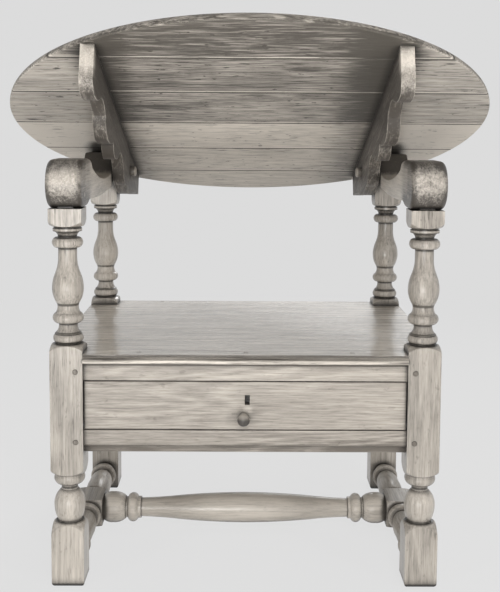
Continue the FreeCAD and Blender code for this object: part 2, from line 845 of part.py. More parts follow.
def make_side_stretcher(side_name):
    """A stretcher turned from a square blank that is left square at its centre."""
    body = new_body(f"{side_name}_stretcher")
    half = size("stretcher_block") / 2
    reach = SIDE_RUN / 2 + size("round_tenon_length")
    extrude(body, "Z", -reach, reach, [rectangle(-half, half, -half, half)])
    for end in (-1, 1):
        turn(body, stretcher_turning(end), cut=True)
    floor = half - size("round_tenon_length") - size("fit_gap")
    mouth = half + OVERCUT
    socket_reach = (floor, mouth) if side_name == "left" else (-mouth, -floor)
    socket = (0, 0, size("round_tenon_dia") + size("fit_gap"))
    extrude(body, "X", *socket_reach, circles=[socket], cut=True)
    place(body, HALF_SPAN * SIDES[side_name], 0, size("stretcher_height"), (1, 0, 0), 90)
    return body


def make_medial_stretcher():
    """The long swelling turning between the two side stretchers."""
    body = new_body("medial_stretcher")
    reach = (size("post_span") - size("stretcher_block")) / 2
    tip = reach + size("round_tenon_length")
    ring = size("medial_ring") / 2 - 18 * SWELL
    neck = size("medial_neck") / 2
    swell = size("medial_dia") / 2
    tenon = size("round_tenon_dia") / 2
    half = [
        (swell, 0, 0.02),
        (neck + 5, reach * 0.45, -0.02),
        (neck, reach - 70),
        (neck + 3, reach - 70),
        (neck + 3, reach - 65),
        (ring, reach - 64, BEAD),
        (ring, reach - 46),
        (neck + 2, reach - 45),
        (neck + 2, reach - 42),
        (neck + 4, reach - 41, 0.2),
        (size("medial_bulb") / 2, reach - 18, 0.2),
        (neck + 6, reach),
        (tenon, reach),
        (tenon, tip),
    ]
    lower = []
    for index in range(len(half) - 1, 0, -1):
        bulge = half[index - 1][2:]
        lower.append((half[index][0], -half[index][1]) + bulge)
    turn(body, [(0, -tip)] + lower + half + [(0, tip)])
    place(body, 0, 0, size("stretcher_height"), (0, 1, 0), 90)
    return body


# Drawer

DRAWER_FACE = -HALF_DEPTH - RAIL_OUTER
DRAWER_BACK_OF_FRONT = DRAWER_FACE + size("drawer_front_thick")
DRAWER_LOW = OPENING_LOW + size("drawer_gap")
DRAWER_HIGH = UPPER_RAIL_LOW - size("drawer_gap")
DRAWER_HALF = HALF_SPAN - HALF_POST - size("drawer_gap")
DRAWER_SIDE_OUTER = DRAWER_HALF - 2
DRAWER_SIDE_INNER = DRAWER_SIDE_OUTER - size("drawer_side_thick")
DRAWER_TAIL = HALF_DEPTH + RAIL_OUTER - size("rail_thick") - size("drawer_tail_gap")
DRAWER_FLOOR = DRAWER_LOW + size("drawer_bottom_thick")
DRAWER_SIDE_TOP = DRAWER_HIGH - size("drawer_drop")
RUNNER_MIDDLE = (DRAWER_FLOOR + DRAWER_SIDE_TOP) / 2
KEYHOLE = DRAWER_HIGH - size("keyhole_below_top")
KNOB_X = -size("knob_aside")
LOCK_LOW = DRAWER_HIGH - size("lock_height")
BOLT_PLANE = DRAWER_FACE + BOLT_BACK


def cut_keyhole(body, y_low, y_high):
    """Upright slot for the key."""
    half = size("keyhole_wide") / 2
    slot = rectangle(LOCK_X - half, LOCK_X + half, KEYHOLE - size("keyhole_high"), KEYHOLE)
    extrude(body, "Y", y_low, y_high, [slot], cut=True)


def make_drawer_front():
    """Front rebated for the sides and bottom, cut for the lock, key and knob."""
    body = new_body("drawer_front")
    plan = rectangle(-DRAWER_HALF, DRAWER_HALF, DRAWER_FACE, DRAWER_BACK_OF_FRONT)
    extrude(body, "Z", DRAWER_LOW, DRAWER_HIGH, [plan])
    lap = DRAWER_BACK_OF_FRONT - size("drawer_lap")
    air = DRAWER_BACK_OF_FRONT + OVERCUT
    laps = [
        rectangle(-DRAWER_HALF - OVERCUT, -DRAWER_SIDE_INNER, lap, air),
        rectangle(DRAWER_SIDE_INNER, DRAWER_HALF + OVERCUT, lap, air),
    ]
    extrude(body, "Z", DRAWER_FLOOR, DRAWER_HIGH + OVERCUT, laps, cut=True)
    floor = rectangle(-DRAWER_HALF - OVERCUT, DRAWER_HALF + OVERCUT, lap, air)
    extrude(body, "Z", DRAWER_LOW - OVERCUT, DRAWER_FLOOR, [floor], cut=True)
    half_lock = size("lock_width") / 2 + size("fit_gap")
    bed = DRAWER_BACK_OF_FRONT - size("lock_thick")
    recess = rectangle(LOCK_X - half_lock, LOCK_X + half_lock, bed, air)
    extrude(body, "Z", LOCK_LOW - size("fit_gap"), DRAWER_HIGH + OVERCUT, [recess], cut=True)
    cut_keyhole(body, DRAWER_FACE - OVERCUT, DRAWER_BACK_OF_FRONT)
    shank = (KNOB_X, DRAWER_HIGH - size("knob_below_top"), size("knob_shank_dia") + size("fit_gap"))
    extrude(body, "Y", DRAWER_FACE - OVERCUT, air, circles=[shank], cut=True)
    return body


def make_drawer_side(side_name):
    """Side grooved on its outer face for the runner."""
    side = SIDES[side_name]
    body = new_body(f"drawer_{side_name}_side")
    start = DRAWER_BACK_OF_FRONT - size("drawer_lap")
    faces = (DRAWER_SIDE_INNER, DRAWER_SIDE_OUTER) if side > 0 else (-DRAWER_SIDE_OUTER, -DRAWER_SIDE_INNER)
    extrude(body, "Z", DRAWER_FLOOR, DRAWER_SIDE_TOP, [rectangle(*faces, start, DRAWER_TAIL)])
    bottom = DRAWER_SIDE_OUTER - size("groove_depth")
    reach = (bottom, DRAWER_SIDE_OUTER + OVERCUT) if side > 0 else (-DRAWER_SIDE_OUTER - OVERCUT, -bottom)
    half_groove = size("runner_height") / 2 + size("runner_gap")
    groove = rectangle(
        DRAWER_BACK_OF_FRONT + size("groove_stop"),
        DRAWER_TAIL + OVERCUT,
        RUNNER_MIDDLE - half_groove,
        RUNNER_MIDDLE + half_groove,
    )
    extrude(body, "X", *reach, [groove], cut=True)
    return body


def make_box(label, x_low, x_high, y_low, y_high, z_low, z_high):
    body = new_body(label)
    extrude(body, "Z", z_low, z_high, [rectangle(x_low, x_high, y_low, y_high)])
    return body


def make_drawer_boards():
    """The back between the sides, and the bottom nailed up under them."""
    make_box(
        "drawer_back",
        -DRAWER_SIDE_INNER,
        DRAWER_SIDE_INNER,
        DRAWER_TAIL - size("drawer_back_thick"),
        DRAWER_TAIL,
        DRAWER_FLOOR,
        DRAWER_SIDE_TOP - size("drawer_drop"),
    )
    make_box(
        "drawer_bottom",
        -DRAWER_SIDE_OUTER,
        DRAWER_SIDE_OUTER,
        DRAWER_BACK_OF_FRONT - size("drawer_lap"),
        DRAWER_TAIL,
        DRAWER_LOW,
        DRAWER_FLOOR,
    )


def make_runner(side_name):
    """Strip against the side rail, between the posts, that carries the drawer."""
    side = SIDES[side_name]
    inner = DRAWER_SIDE_OUTER - size("groove_depth") + size("groove_floor_gap")
    outer = HALF_SPAN + RAIL_OUTER - size("rail_thick")
    span = (inner, outer) if side > 0 else (-outer, -inner)
    half = size("runner_height") / 2
    end = SIDE_RUN / 2
    return make_box(
        f"{side_name}_drawer_runner", *span, -end, end, RUNNER_MIDDLE - half, RUNNER_MIDDLE + half
    )


def make_lock():
    """Iron lock case let into the drawer front, and the bolt that shoots up from it."""
    case = new_body("lock_case")
    half = size("lock_width") / 2
    front = DRAWER_BACK_OF_FRONT - size("lock_thick")
    plan = rectangle(LOCK_X - half, LOCK_X + half, front, DRAWER_BACK_OF_FRONT)
    extrude(case, "Z", LOCK_LOW, DRAWER_HIGH, [plan])
    half_width = size("bolt_width") / 2
    half_thick = size("bolt_thick") / 2
    gap = size("bolt_gap")
    slot = rectangle(
        LOCK_X - half_width - gap,
        LOCK_X + half_width + gap,
        BOLT_PLANE - half_thick - gap,
        BOLT_PLANE + half_thick + gap,
    )
    bolt_low = DRAWER_HIGH - size("bolt_height")
    extrude(case, "Z", bolt_low - gap, DRAWER_HIGH + OVERCUT, [slot], cut=True)
    cut_keyhole(case, front - OVERCUT, BOLT_PLANE - half_thick - gap)
    faces = (BOLT_PLANE - half_thick, BOLT_PLANE + half_thick)
    bolt = rectangle(LOCK_X - half_width, LOCK_X + half_width, *faces)
    make_bolt = new_body("lock_bolt")
    extrude(make_bolt, "Z", bolt_low, DRAWER_HIGH, [bolt])


def make_knob():
    """Turned knob with its shank through the drawer front."""
    body = new_body("drawer_knob")
    shank = size("knob_shank_dia") / 2
    knob = size("knob_dia") / 2
    reach = size("knob_reach")
    outline = [
        (0, -size("drawer_front_thick")),
        (shank, -size("drawer_front_thick")),
        (shank, 0),
        (knob * 0.75, 0),
        (knob * 0.75, 2.5, -0.3),
        (knob * 0.45, reach * 0.3),
        (knob * 0.5, reach * 0.36, 0.295),
        (knob, reach * 0.68, 0.295),
        (knob * 0.6, reach * 0.94, 0.1),
        (knob * 0.2, reach),
        (0, reach),
    ]
    turn(body, outline)
    place(body, KNOB_X, DRAWER_FACE, DRAWER_HIGH - size("knob_below_top"), (1, 0, 0), 90)
    return body


# Round top, drawn flat about the pivot

TOP_RADIUS = size("top_dia") / 2
TOP_FRONT = -size("top_forward") - TOP_RADIUS
BOARDS = ["front_board", "second_board", "third_board", "fourth_board", "fifth_board", "sixth_board"]
BATTEN_MIDDLE = (BATTEN_OUTER + BATTEN_INNER) / 2
BATTEN_ASIDE = BATTEN_OUTER + size("top_aside")
BATTEN_CHORD = (TOP_RADIUS * TOP_RADIUS - BATTEN_ASIDE * BATTEN_ASIDE).root()
BATTEN_FRONT = size("top_forward") + BATTEN_CHORD - size("batten_front_gap")
BATTEN_REAR = BATTEN_CHORD - size("top_forward") - size("batten_rear_gap")


def board_edges():
    """Places along Y where one board ends and the next begins."""
    widths = [size(board) for board in BOARDS]
    total = sum(widths[1:], widths[0])
    edges = [TOP_FRONT]
    for width in widths:
        edges.append(edges[-1] + width * size("top_dia") / total)
    return edges


def top_peg_rows():
    """For each board, where along Y its pegs go into the battens."""
    edges = board_edges()
    rows = []
    for near, far in zip(edges, edges[1:]):
        if near is edges[0]:
            rows.append([(far - BATTEN_FRONT) / 2])
        elif far is edges[-1]:
            rows.append([(near + BATTEN_REAR) / 2])
        else:
            quarter = (far - near) / 4
            rows.append([near + quarter, far - quarter])
    return rows


def set_on_pivot(body):
    """Places a piece of the top, drawn flat about the pivot, at the raised rest pose."""
    place(body, 0, HALF_DEPTH, PIVOT_HEIGHT, (-1, 0, 0), size("rest_tilt"))


def make_top_board(number, near, far, first, last, pegs):
    """One board of the round top: a rounded disc cut to the board's width."""
    body = new_body(f"top_board_{number}")
    under = UNDERSIDE
    over = UNDERSIDE + size("top_thick")
    ease_low = size("rim_ease")
    round_high = size("rim_round")
    disc = [
        (0, under),
        (TOP_RADIUS - ease_low, under),
        (TOP_RADIUS, under + ease_low),
        (TOP_RADIUS, over - round_high, QUARTER_ROUND),
        (TOP_RADIUS - round_high, over),
        (0, over),
    ]
    turn(body, disc)
    centre = size("top_forward")
    half_gap = size("board_gap") / 2
    wide = TOP_RADIUS + OVERCUT
    aside = size("top_aside")
    offcuts = []
    arrises = []
    for joined, edge, inward in ((not first, near, 1), (not last, far, -1)):
        if not joined:
            continue
        face = edge + centre + half_gap * inward
        offcuts.append(rectangle(-wide, wide, *((-wide, face) if inward > 0 else (face, wide))))
        air = face - OVERCUT * inward
        slope = size("board_arris") + OVERCUT
        arrises.append([(air, under - OVERCUT), (face + slope * inward, under - OVERCUT), (air, under + slope)])
    extrude(body, "Z", under - OVERCUT, over + OVERCUT, offcuts, cut=True)
    extrude(body, "X", -wide, wide, arrises, cut=True)
    hole = size("top_peg_dia") + size("fit_gap")
    holes = [(x - aside, y + centre, hole) for x in (-BATTEN_MIDDLE, BATTEN_MIDDLE) for y in pegs]
    extrude(body, "Z", under - OVERCUT, over + OVERCUT, circles=holes, cut=True)
    tilt = size("rest_tilt")
    place(
        body,
        aside,
        HALF_DEPTH - centre * Dim(math.cos(math.radians(tilt.value)), f"cos({tilt.text} * 1 deg)"),
        PIVOT_HEIGHT + centre * Dim(math.sin(math.radians(tilt.value)), f"sin({tilt.text} * 1 deg)"),
        (-1, 0, 0),
        tilt,
    )
    return body


def batten_outline():
    """Side of a batten: blunt front end, three lobes, the deep lobe of the pivot, a plain tail."""
    under = UNDERSIDE
    lobe = under - size("lobe_depth")
    notch = under - size("notch_depth")
    front = -BATTEN_FRONT
    first = front + size("first_notch")
    second = front + size("second_notch")
    third = front + size("third_notch")
    pivot_front = -size("pivot_lobe")
    rear = BATTEN_REAR
    return [
        (front, under),
        (front, under - size("batten_nose"), 0.35),
        (front + 26, under - size("nose_depth"), 0.16),
        (first, notch, -0.3),
        (first + 66, notch - 6, 0.35),
        (first + 112, lobe, 0.12),
        (second, notch - 16, 0.32),
        (second + 38, lobe, 0.14),
        (third, notch - 10, -0.35),
        (pivot_front, notch - 14, 0.35),
        (pivot_front + 50, lobe, 0.14),
        (size("pin_dia"), lobe + 8, -0.04),
        (rear, under - size("tail_depth")),
        (rear, under),
    ]


def make_batten(side_name):
    """A batten with its pivot hole and the peg holes that hold the boards."""
    side = SIDES[side_name]
    body = new_body(f"{side_name}_batten")
    faces = (BATTEN_INNER, BATTEN_OUTER) if side > 0 else (-BATTEN_OUTER, -BATTEN_INNER)
    extrude(body, "X", *faces, [batten_outline()])
    pivot = (0, 0, size("pin_dia") + size("pin_gap") * 2)
    extrude(body, "X", faces[0] - OVERCUT, faces[1] + OVERCUT, circles=[pivot], cut=True)
    hole = size("top_peg_dia") + size("fit_gap")
    depth = size("top_peg_length") - size("top_thick") + size("fit_gap")
    holes = [(BATTEN_MIDDLE * side, y, hole) for row in top_peg_rows() for y in row]
    extrude(body, "Z", UNDERSIDE - depth, UNDERSIDE + OVERCUT, circles=holes, cut=True)
    set_on_pivot(body)
    return body


def make_top():
    """Six boards, two battens and the pegs between them."""
    edges = board_edges()
    rows = top_peg_rows()
    last = len(rows) - 1
    for index, pegs in enumerate(rows):
        make_top_board(index + 1, edges[index], edges[index + 1], index == 0, index == last, pegs)
    for side_name in SIDES:
        make_batten(side_name)
    length = size("top_peg_length")
    start = UNDERSIDE + size("top_thick") - length
    pegs = [
        peg(BATTEN_MIDDLE * side, y, start, "Z", size("top_peg_dia"), length)
        for side in SIDES.values()
        for row in rows
        for y in row
    ]
    set_on_pivot(group("top_pegs", pegs))


# Pegs


def make_frame_pegs():
    """Draw-bored pegs of the rails, driven in from the outer faces of the posts."""
    pegs = []
    length = size("peg_length")
    dia = size("peg_dia")
    proud = size("peg_proud")
    line = HALF_POST - size("peg_inset")
    for row_name, row in ROWS.items():
        for side in SIDES.values():
            start = -HALF_DEPTH - HALF_POST - proud if row < 0 else HALF_DEPTH + HALF_POST + proud - length
            for rail in CROSS_RAILS[row_name]:
                for height in rail_pegs_between(*rail):
                    pegs.append(peg((HALF_SPAN - line) * side, start, height, "Y", dia, length))
            start = -HALF_SPAN - HALF_POST - proud if side < 0 else HALF_SPAN + HALF_POST + proud - length
            for height in rail_pegs_between(*SIDE_RAIL):
                pegs.append(peg(start, (HALF_DEPTH - line) * row, height, "X", dia, length))
    return group("frame_pegs", pegs)


def make_arm_pegs():
    """Pegs across the arms, through the tenons of the front posts."""
    height = size("arm_top") - size("knuckle_height") + size("post_tenon_high") / 2
    outer = HALF_SPAN + size("arm_width") / 2 + size("peg_proud")
    length = outer - ARM_INNER
    pegs = [
        peg(start, -HALF_DEPTH, height, "X", size("peg_dia"), length)
        for start in (-outer, ARM_INNER)
    ]
    return group("arm_pegs", pegs)


def make_seat_pegs():
    """Pegs through the seat into the front and rear rails."""
    length = size("seat_thick") + size("seat_peg_grip")
    start = SEAT_UNDER - size("seat_peg_grip")
    pegs = [
        peg(x, y, start, "Z", size("peg_dia"), length)
        for row in seat_peg_rows().values()
        for x, y in row
    ]
    return group("seat_pegs", pegs)


def check_and_export():
    """Stops on any broken feature or shape, then writes one file per node."""
    document.recompute()
    for item in document.Objects:
        if "Invalid" in item.State or "Error" in item.State:
            raise RuntimeError(f"{item.Label}: {item.State}")
    os.makedirs("parts", exist_ok=True)
    for node in NODES:
        shape = node.Shape
        if shape.isNull() or not shape.isValid():
            raise RuntimeError(f"{node.Label}: bad shape")
        pieces = len(node.Links) if node.TypeId == "Part::Compound" else 1
        if len(shape.Solids) != pieces:
            raise RuntimeError(f"{node.Label}: {len(shape.Solids)} solids, not {pieces}")
        shape.exportStep(f"parts/{node.Label}.step")


for row_name in ROWS:
    for side_name in SIDES:
        make_post(row_name, side_name)
for side_name in SIDES:
    make_arm(side_name)
    make_pivot_pin(side_name)
    make_side_stretcher(side_name)
    make_runner(side_name)
    make_drawer_side(side_name)
make_rails()
make_seat()
make_medial_stretcher()
make_drawer_front()
make_drawer_boards()
make_lock()
make_knob()
make_top()
make_frame_pegs()
make_arm_pegs()
make_seat_pegs()
check_and_export()
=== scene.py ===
"""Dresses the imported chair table: old waxed oak, dark knob, iron lock and nails, in a plain pale studio.

Metres. +Z is up and the front faces -Y. The round top is stored half raised on its pivot.
"""

from __future__ import annotations

import json
import logging
import math
from dataclasses import dataclass, field
from enum import Enum
from typing import Any, Iterable, Union

import bmesh
import bpy
from mathutils import Matrix, Vector

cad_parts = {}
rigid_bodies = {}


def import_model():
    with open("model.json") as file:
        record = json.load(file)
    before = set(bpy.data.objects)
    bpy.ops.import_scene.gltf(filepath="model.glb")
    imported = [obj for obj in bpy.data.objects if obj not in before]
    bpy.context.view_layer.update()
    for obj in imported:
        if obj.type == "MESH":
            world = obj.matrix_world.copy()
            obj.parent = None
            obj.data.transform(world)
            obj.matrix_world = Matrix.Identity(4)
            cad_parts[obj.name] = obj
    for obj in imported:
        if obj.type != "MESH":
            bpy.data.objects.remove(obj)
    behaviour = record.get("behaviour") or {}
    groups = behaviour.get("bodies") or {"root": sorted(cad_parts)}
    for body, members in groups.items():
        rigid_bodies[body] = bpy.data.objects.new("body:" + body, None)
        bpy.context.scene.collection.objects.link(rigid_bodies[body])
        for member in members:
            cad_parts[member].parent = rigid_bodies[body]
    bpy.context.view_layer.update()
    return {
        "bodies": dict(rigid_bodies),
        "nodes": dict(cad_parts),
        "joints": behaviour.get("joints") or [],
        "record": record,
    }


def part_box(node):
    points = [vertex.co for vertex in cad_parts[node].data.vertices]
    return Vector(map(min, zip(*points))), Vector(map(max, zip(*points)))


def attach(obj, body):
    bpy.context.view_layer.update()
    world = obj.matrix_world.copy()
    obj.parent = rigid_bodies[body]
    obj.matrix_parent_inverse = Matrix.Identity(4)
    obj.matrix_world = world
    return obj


LOG = logging.getLogger("chair_table")
Colour = tuple[float, float, float]
Point = tuple[float, float, float]
Stretch = tuple[float, float, float, float]

PIVOT: Point = (0.0, 0.224, 0.660)
REST_TILT = math.radians(19.8)
IMAGE_SIZE = (500, 592)


class Axis(Enum):
    """A direction to measure along: the part's axes, and the raised top's own two."""

    X = "to the right"
    Y = "to the back"
    Z = "up"
    ASIDE = "from the middle, to either side"
    RUN = "from the pivot to the back, in the top's plane"
    LIFT = "from the pivot, square to the top's plane"


class Grain(Enum):
    """Which way the wood's fibres run, then the two directions across them."""

    ACROSS = (Axis.X, Axis.Y, Axis.Z)
    DEEP = (Axis.Y, Axis.X, Axis.Z)
    UPRIGHT = (Axis.Z, Axis.X, Axis.Y)
    BOARDS = (Axis.X, Axis.RUN, Axis.LIFT)
    BATTENS = (Axis.RUN, Axis.X, Axis.LIFT)


class Body(Enum):
    """The moving bodies of the part."""

    BASE = "base"
    TOP = "top"
    DRAWER = "drawer"
    LOCK_BOLT = "lock_bolt"


class Wire:
    """One output of a shader node. Arithmetic on it adds Math nodes."""

    def __init__(self, graph: "Graph", socket: bpy.types.NodeSocket) -> None:
        """Keeps the socket and the graph that it belongs to."""
        self.graph = graph
        self.socket = socket

    def math(self, operation: str, *operands: "Operand", clamp: bool = False) -> "Wire":
        """Adds one Math node.

        Args:
            operation: Name of the Math node's operation.
            operands: Wires or numbers for its sockets, in order.
            clamp: Whether the result is held between 0 and 1.

        Returns:
            The node's output.
        """
        settings = {"operation": operation, "use_clamp": clamp}
        return self.graph.add("ShaderNodeMath", settings, dict(enumerate(operands)))

    def __add__(self, other: "Operand") -> "Wire":
        """Sum."""
        return self.math("ADD", self, other)

    __radd__ = __add__

    def __sub__(self, other: "Operand") -> "Wire":
        """Difference."""
        return self.math("SUBTRACT", self, other)

    def __rsub__(self, other: "Operand") -> "Wire":
        """Difference, with this wire taken away."""
        return self.math("SUBTRACT", other, self)

    def __mul__(self, other: "Operand") -> "Wire":
        """Product."""
        return self.math("MULTIPLY", self, other)

    __rmul__ = __mul__

    def __pow__(self, other: "Operand") -> "Wire":
        """Power."""
        return self.math("POWER", self, other)

    def sine(self) -> "Wire":
        """Sine, for an angle in radians."""
        return self.math("SINE", self)

    def clamped(self) -> "Wire":
        """The same value, held between 0 and 1."""
        return self.math("ADD", self, 0.0, clamp=True)

    def step(self, low: float, high: float) -> "Wire":
        """A soft step.

        Args:
            low: Value where the step starts, giving 0.
            high: Value where it ends, giving 1. It may be below low.

        Returns:
            The step, from 0 to 1.
        """
        settings = {"interpolation_type": "SMOOTHSTEP"}
        sockets = {"Value": self, "From Min": low, "From Max": high, "To Min": 0.0, "To Max": 1.0}
        return self.graph.add("ShaderNodeMapRange", settings, sockets)


Operand = Union[Wire, float, int]


class Graph:
    """A node tree that is built node by node."""

    def __init__(self, owner: Union[bpy.types.Material, bpy.types.World]) -> None:
        """Empties the tree of a material or a world.

        Args:
            owner: The material or world.
        """
        owner.use_nodes = True
        self.tree = owner.node_tree
        self.tree.nodes.clear()

    def add(
        self, kind: str, settings: dict[str, Any], sockets: dict[Any, Any], output: Union[int, str, None] = 0
    ) -> Union[Wire, None]:
        """Adds a node.

        Args:
            kind: Type of the node.
            settings: Its own properties.
            sockets: Values or wires for its inputs, by name or place.
            output: Which output is wanted, by name or place, or None for an end node.

        Returns:
            The wire of that output.
        """
        node = self.tree.nodes.new(kind)
        for name, value in settings.items():
            setattr(node, name, value)
        for name, value in sockets.items():
            if isinstance(value, Wire):
                self.tree.links.new(value.socket, node.inputs[name])
            else:
                node.inputs[name].default_value = value
        return None if output is None else Wire(self, node.outputs[output])

    def vector(self, x: Operand, y: Operand, z: Operand) -> Wire:
        """Three values as one vector."""
        return self.add("ShaderNodeCombineXYZ", {}, {0: x, 1: y, 2: z})

    def axes(self) -> tuple[Wire, Wire, Wire]:
        """Splits Object coordinates.

        Returns:
            Their X, Y and Z.
        """
        place = self.add("ShaderNodeTexCoord", {}, {}, "Object")
        split = self.add("ShaderNodeSeparateXYZ", {}, {0: place})
        return tuple(Wire(self, socket) for socket in split.socket.node.outputs)

    def noise(self, place: Wire, scale: float, detail: float, roughness: float = 0.55) -> Wire:
        """Cloudy noise from 0 to 1.

        Args:
            place: Where on the surface, as a vector.
            scale: Clouds per unit of that vector.
            detail: How many finer layers are added.
            roughness: How strong those layers are.

        Returns:
            The noise's value.
        """
        sockets = {"Vector": place, "Scale": scale, "Detail": detail, "Roughness": roughness}
        return self.add("ShaderNodeTexNoise", {}, sockets)

    def mix(self, factor: Operand, first: Any, second: Any) -> Wire:
        """Mixes two colours.

        Args:
            factor: How much of the second colour.
            first: Wire or colour under it.
            second: Wire or colour over it.

        Returns:
            The mixed colour.
        """
        tints = [value if isinstance(value, Wire) else (*value, 1.0) for value in (first, second)]
        return self.add("ShaderNodeMix", {"data_type": "RGBA"}, {0: factor, 6: tints[0], 7: tints[1]}, 2)


def measure(graph: Graph) -> dict[Axis, Wire]:
    """The place on the surface, along every axis.

    Args:
        graph: The material's graph.

    Returns:
        A wire for each axis, in metres.
    """
    x, y, z = graph.axes()
    back = y - PIVOT[1]
    rise = z - PIVOT[2]
    run = back * math.cos(REST_TILT) - rise * math.sin(REST_TILT)
    lift = back * math.sin(REST_TILT) + rise * math.cos(REST_TILT)
    aside = x.math("ABSOLUTE", x)
    return {Axis.X: x, Axis.Y: y, Axis.Z: z, Axis.ASIDE: aside, Axis.RUN: run, Axis.LIFT: lift}


@dataclass(frozen=True)
class Ramp:
    """A soft step along one axis, from 0 at its start to 1 at its end."""

    axis: Axis
    start: float
    end: float


def strip(axis: Axis, start: float, full_from: float, full_to: float, end: float) -> tuple[Ramp, Ramp]:
    """Marks a strip of the surface, with soft edges.

    Args:
        axis: The axis that it is measured along.
        start: Where the strip begins.
        full_from: Where it is full.
        full_to: Where it begins to fade.
        end: Where it has faded.

    Returns:
        The rising ramp and the falling one.
    """
    return Ramp(axis, start, full_from), Ramp(axis, end, full_to)


LEFT_SIDE = Ramp(Axis.X, 0.100, -0.100)
RIGHT_SIDE = Ramp(Axis.X, -0.100, 0.100)
FRONT_POSTS = Ramp(Axis.Y, 0.100, -0.100)
REAR_POSTS = Ramp(Axis.Y, 0.000, 0.100)
OVER_SEAT = Ramp(Axis.Z, 0.395, 0.405)
KNUCKLE = Ramp(Axis.Y, -0.150, -0.185)
KNUCKLE_FACE = Ramp(Axis.Y, -0.200, -0.230)
UNDERSIDE = Ramp(Axis.LIFT, 0.046, 0.041)


@dataclass(frozen=True)
class Shade:
    """A stretch of wood drawn lighter or darker: in most places painted light and shade, in others handling
    and dirt.
    """

    amount: float
    ramps: tuple[Ramp, ...]

    def draw(self, places: dict[Axis, Wire]) -> Wire:
        """Draws the shade where all its ramps are at 1.

        Args:
            places: The place on the surface, along every axis.

        Returns:
            The shift of the tone.
        """
        shift: Operand = self.amount
        for ramp in self.ramps:
            shift = places[ramp.axis].step(ramp.start, ramp.end) * shift
        return shift


@dataclass(frozen=True)
class Layer:
    """Noise that is drawn out along the fibres, in clouds per metre, and may be cut into spots."""

    along: float
    across: float
    detail: float
    roughness: float = 0.55
    spots: Union[tuple[float, float], None] = None


CLOUD = Layer(1.6, 8.0, 3.0)
SWIRL = Layer(1.5, 13.0, 2.0, 0.40)
BANDS = Layer(6.0, 95.0, 5.0, 0.60)
THREADS = Layer(17.0, 380.0, 4.0, 0.60)
PORES = Layer(60.0, 1500.0, 1.0, spots=(0.58, 0.72))
STAINS = Layer(5.0, 14.0, 5.0, 0.62, spots=(0.52, 0.74))
FLECKS = Layer(24.0, 230.0, 2.0, 0.50, spots=(0.60, 0.70))
DENTS = Layer(55.0, 95.0, 3.0, 0.55, spots=(0.64, 0.72))
RING_ANGLE = 92.0
RINGED_SWIRL = (0.35, 0.60)
FLECKED_CLOUD = (0.40, 0.58)
WORN_BANDS = (0.30, 0.60)
WORN_ARRIS = (0.02, 0.22)
DIRTY_SHADED_HOLLOW = (0.05, 0.52)


class Fibres:
    """Places turned to follow the wood."""

    def __init__(self, graph: Graph, along: Wire, side: Wire, depth: Wire) -> None:
        """Keeps the places.

        Args:
            graph: The material's graph.
            along: The place along the fibres.
            side: The place across them.
            depth: The place across them, the other way.
        """
        self.graph = graph
        self.along = along
        self.side = side
        self.depth = depth

    def draw(self, layer: Layer) -> Wire:
        """Draws one layer of the wood.

        Args:
            layer: How its noise is drawn out and cut.

        Returns:
            The layer's value, from 0 to 1.
        """
        side, depth = self.side * layer.across, self.depth * layer.across
        place = self.graph.vector(self.along * layer.along, side, depth)
        noise = self.graph.noise(place, 1.0, layer.detail, layer.roughness)
        return noise if layer.spots is None else noise.step(*layer.spots)


class Figure:
    """The layers that one piece of wood shows."""

    def __init__(self, fibres: Fibres) -> None:
        """Draws every layer.

        Args:
            fibres: The places, turned to follow the wood.
        """
        self.cloud = fibres.draw(CLOUD)
        self.swirl = fibres.draw(SWIRL)
        self.rings = ((self.swirl * RING_ANGLE).sine() * 0.5 + 0.5) ** 2.0
        self.bands = fibres.draw(BANDS)
        self.threads = fibres.draw(THREADS)
        self.pores = fibres.draw(PORES)
        self.stains = fibres.draw(STAINS)
        self.flecks = fibres.draw(FLECKS)
        self.dents = fibres.draw(DENTS)

    def height(self) -> Wire:
        """How far each place stands out, for the bumps."""
        raised = self.bands * 0.5 + self.threads * 0.5 + self.rings * 0.1
        return raised - self.pores * 0.5 - self.flecks * 0.4 - self.dents * 0.5


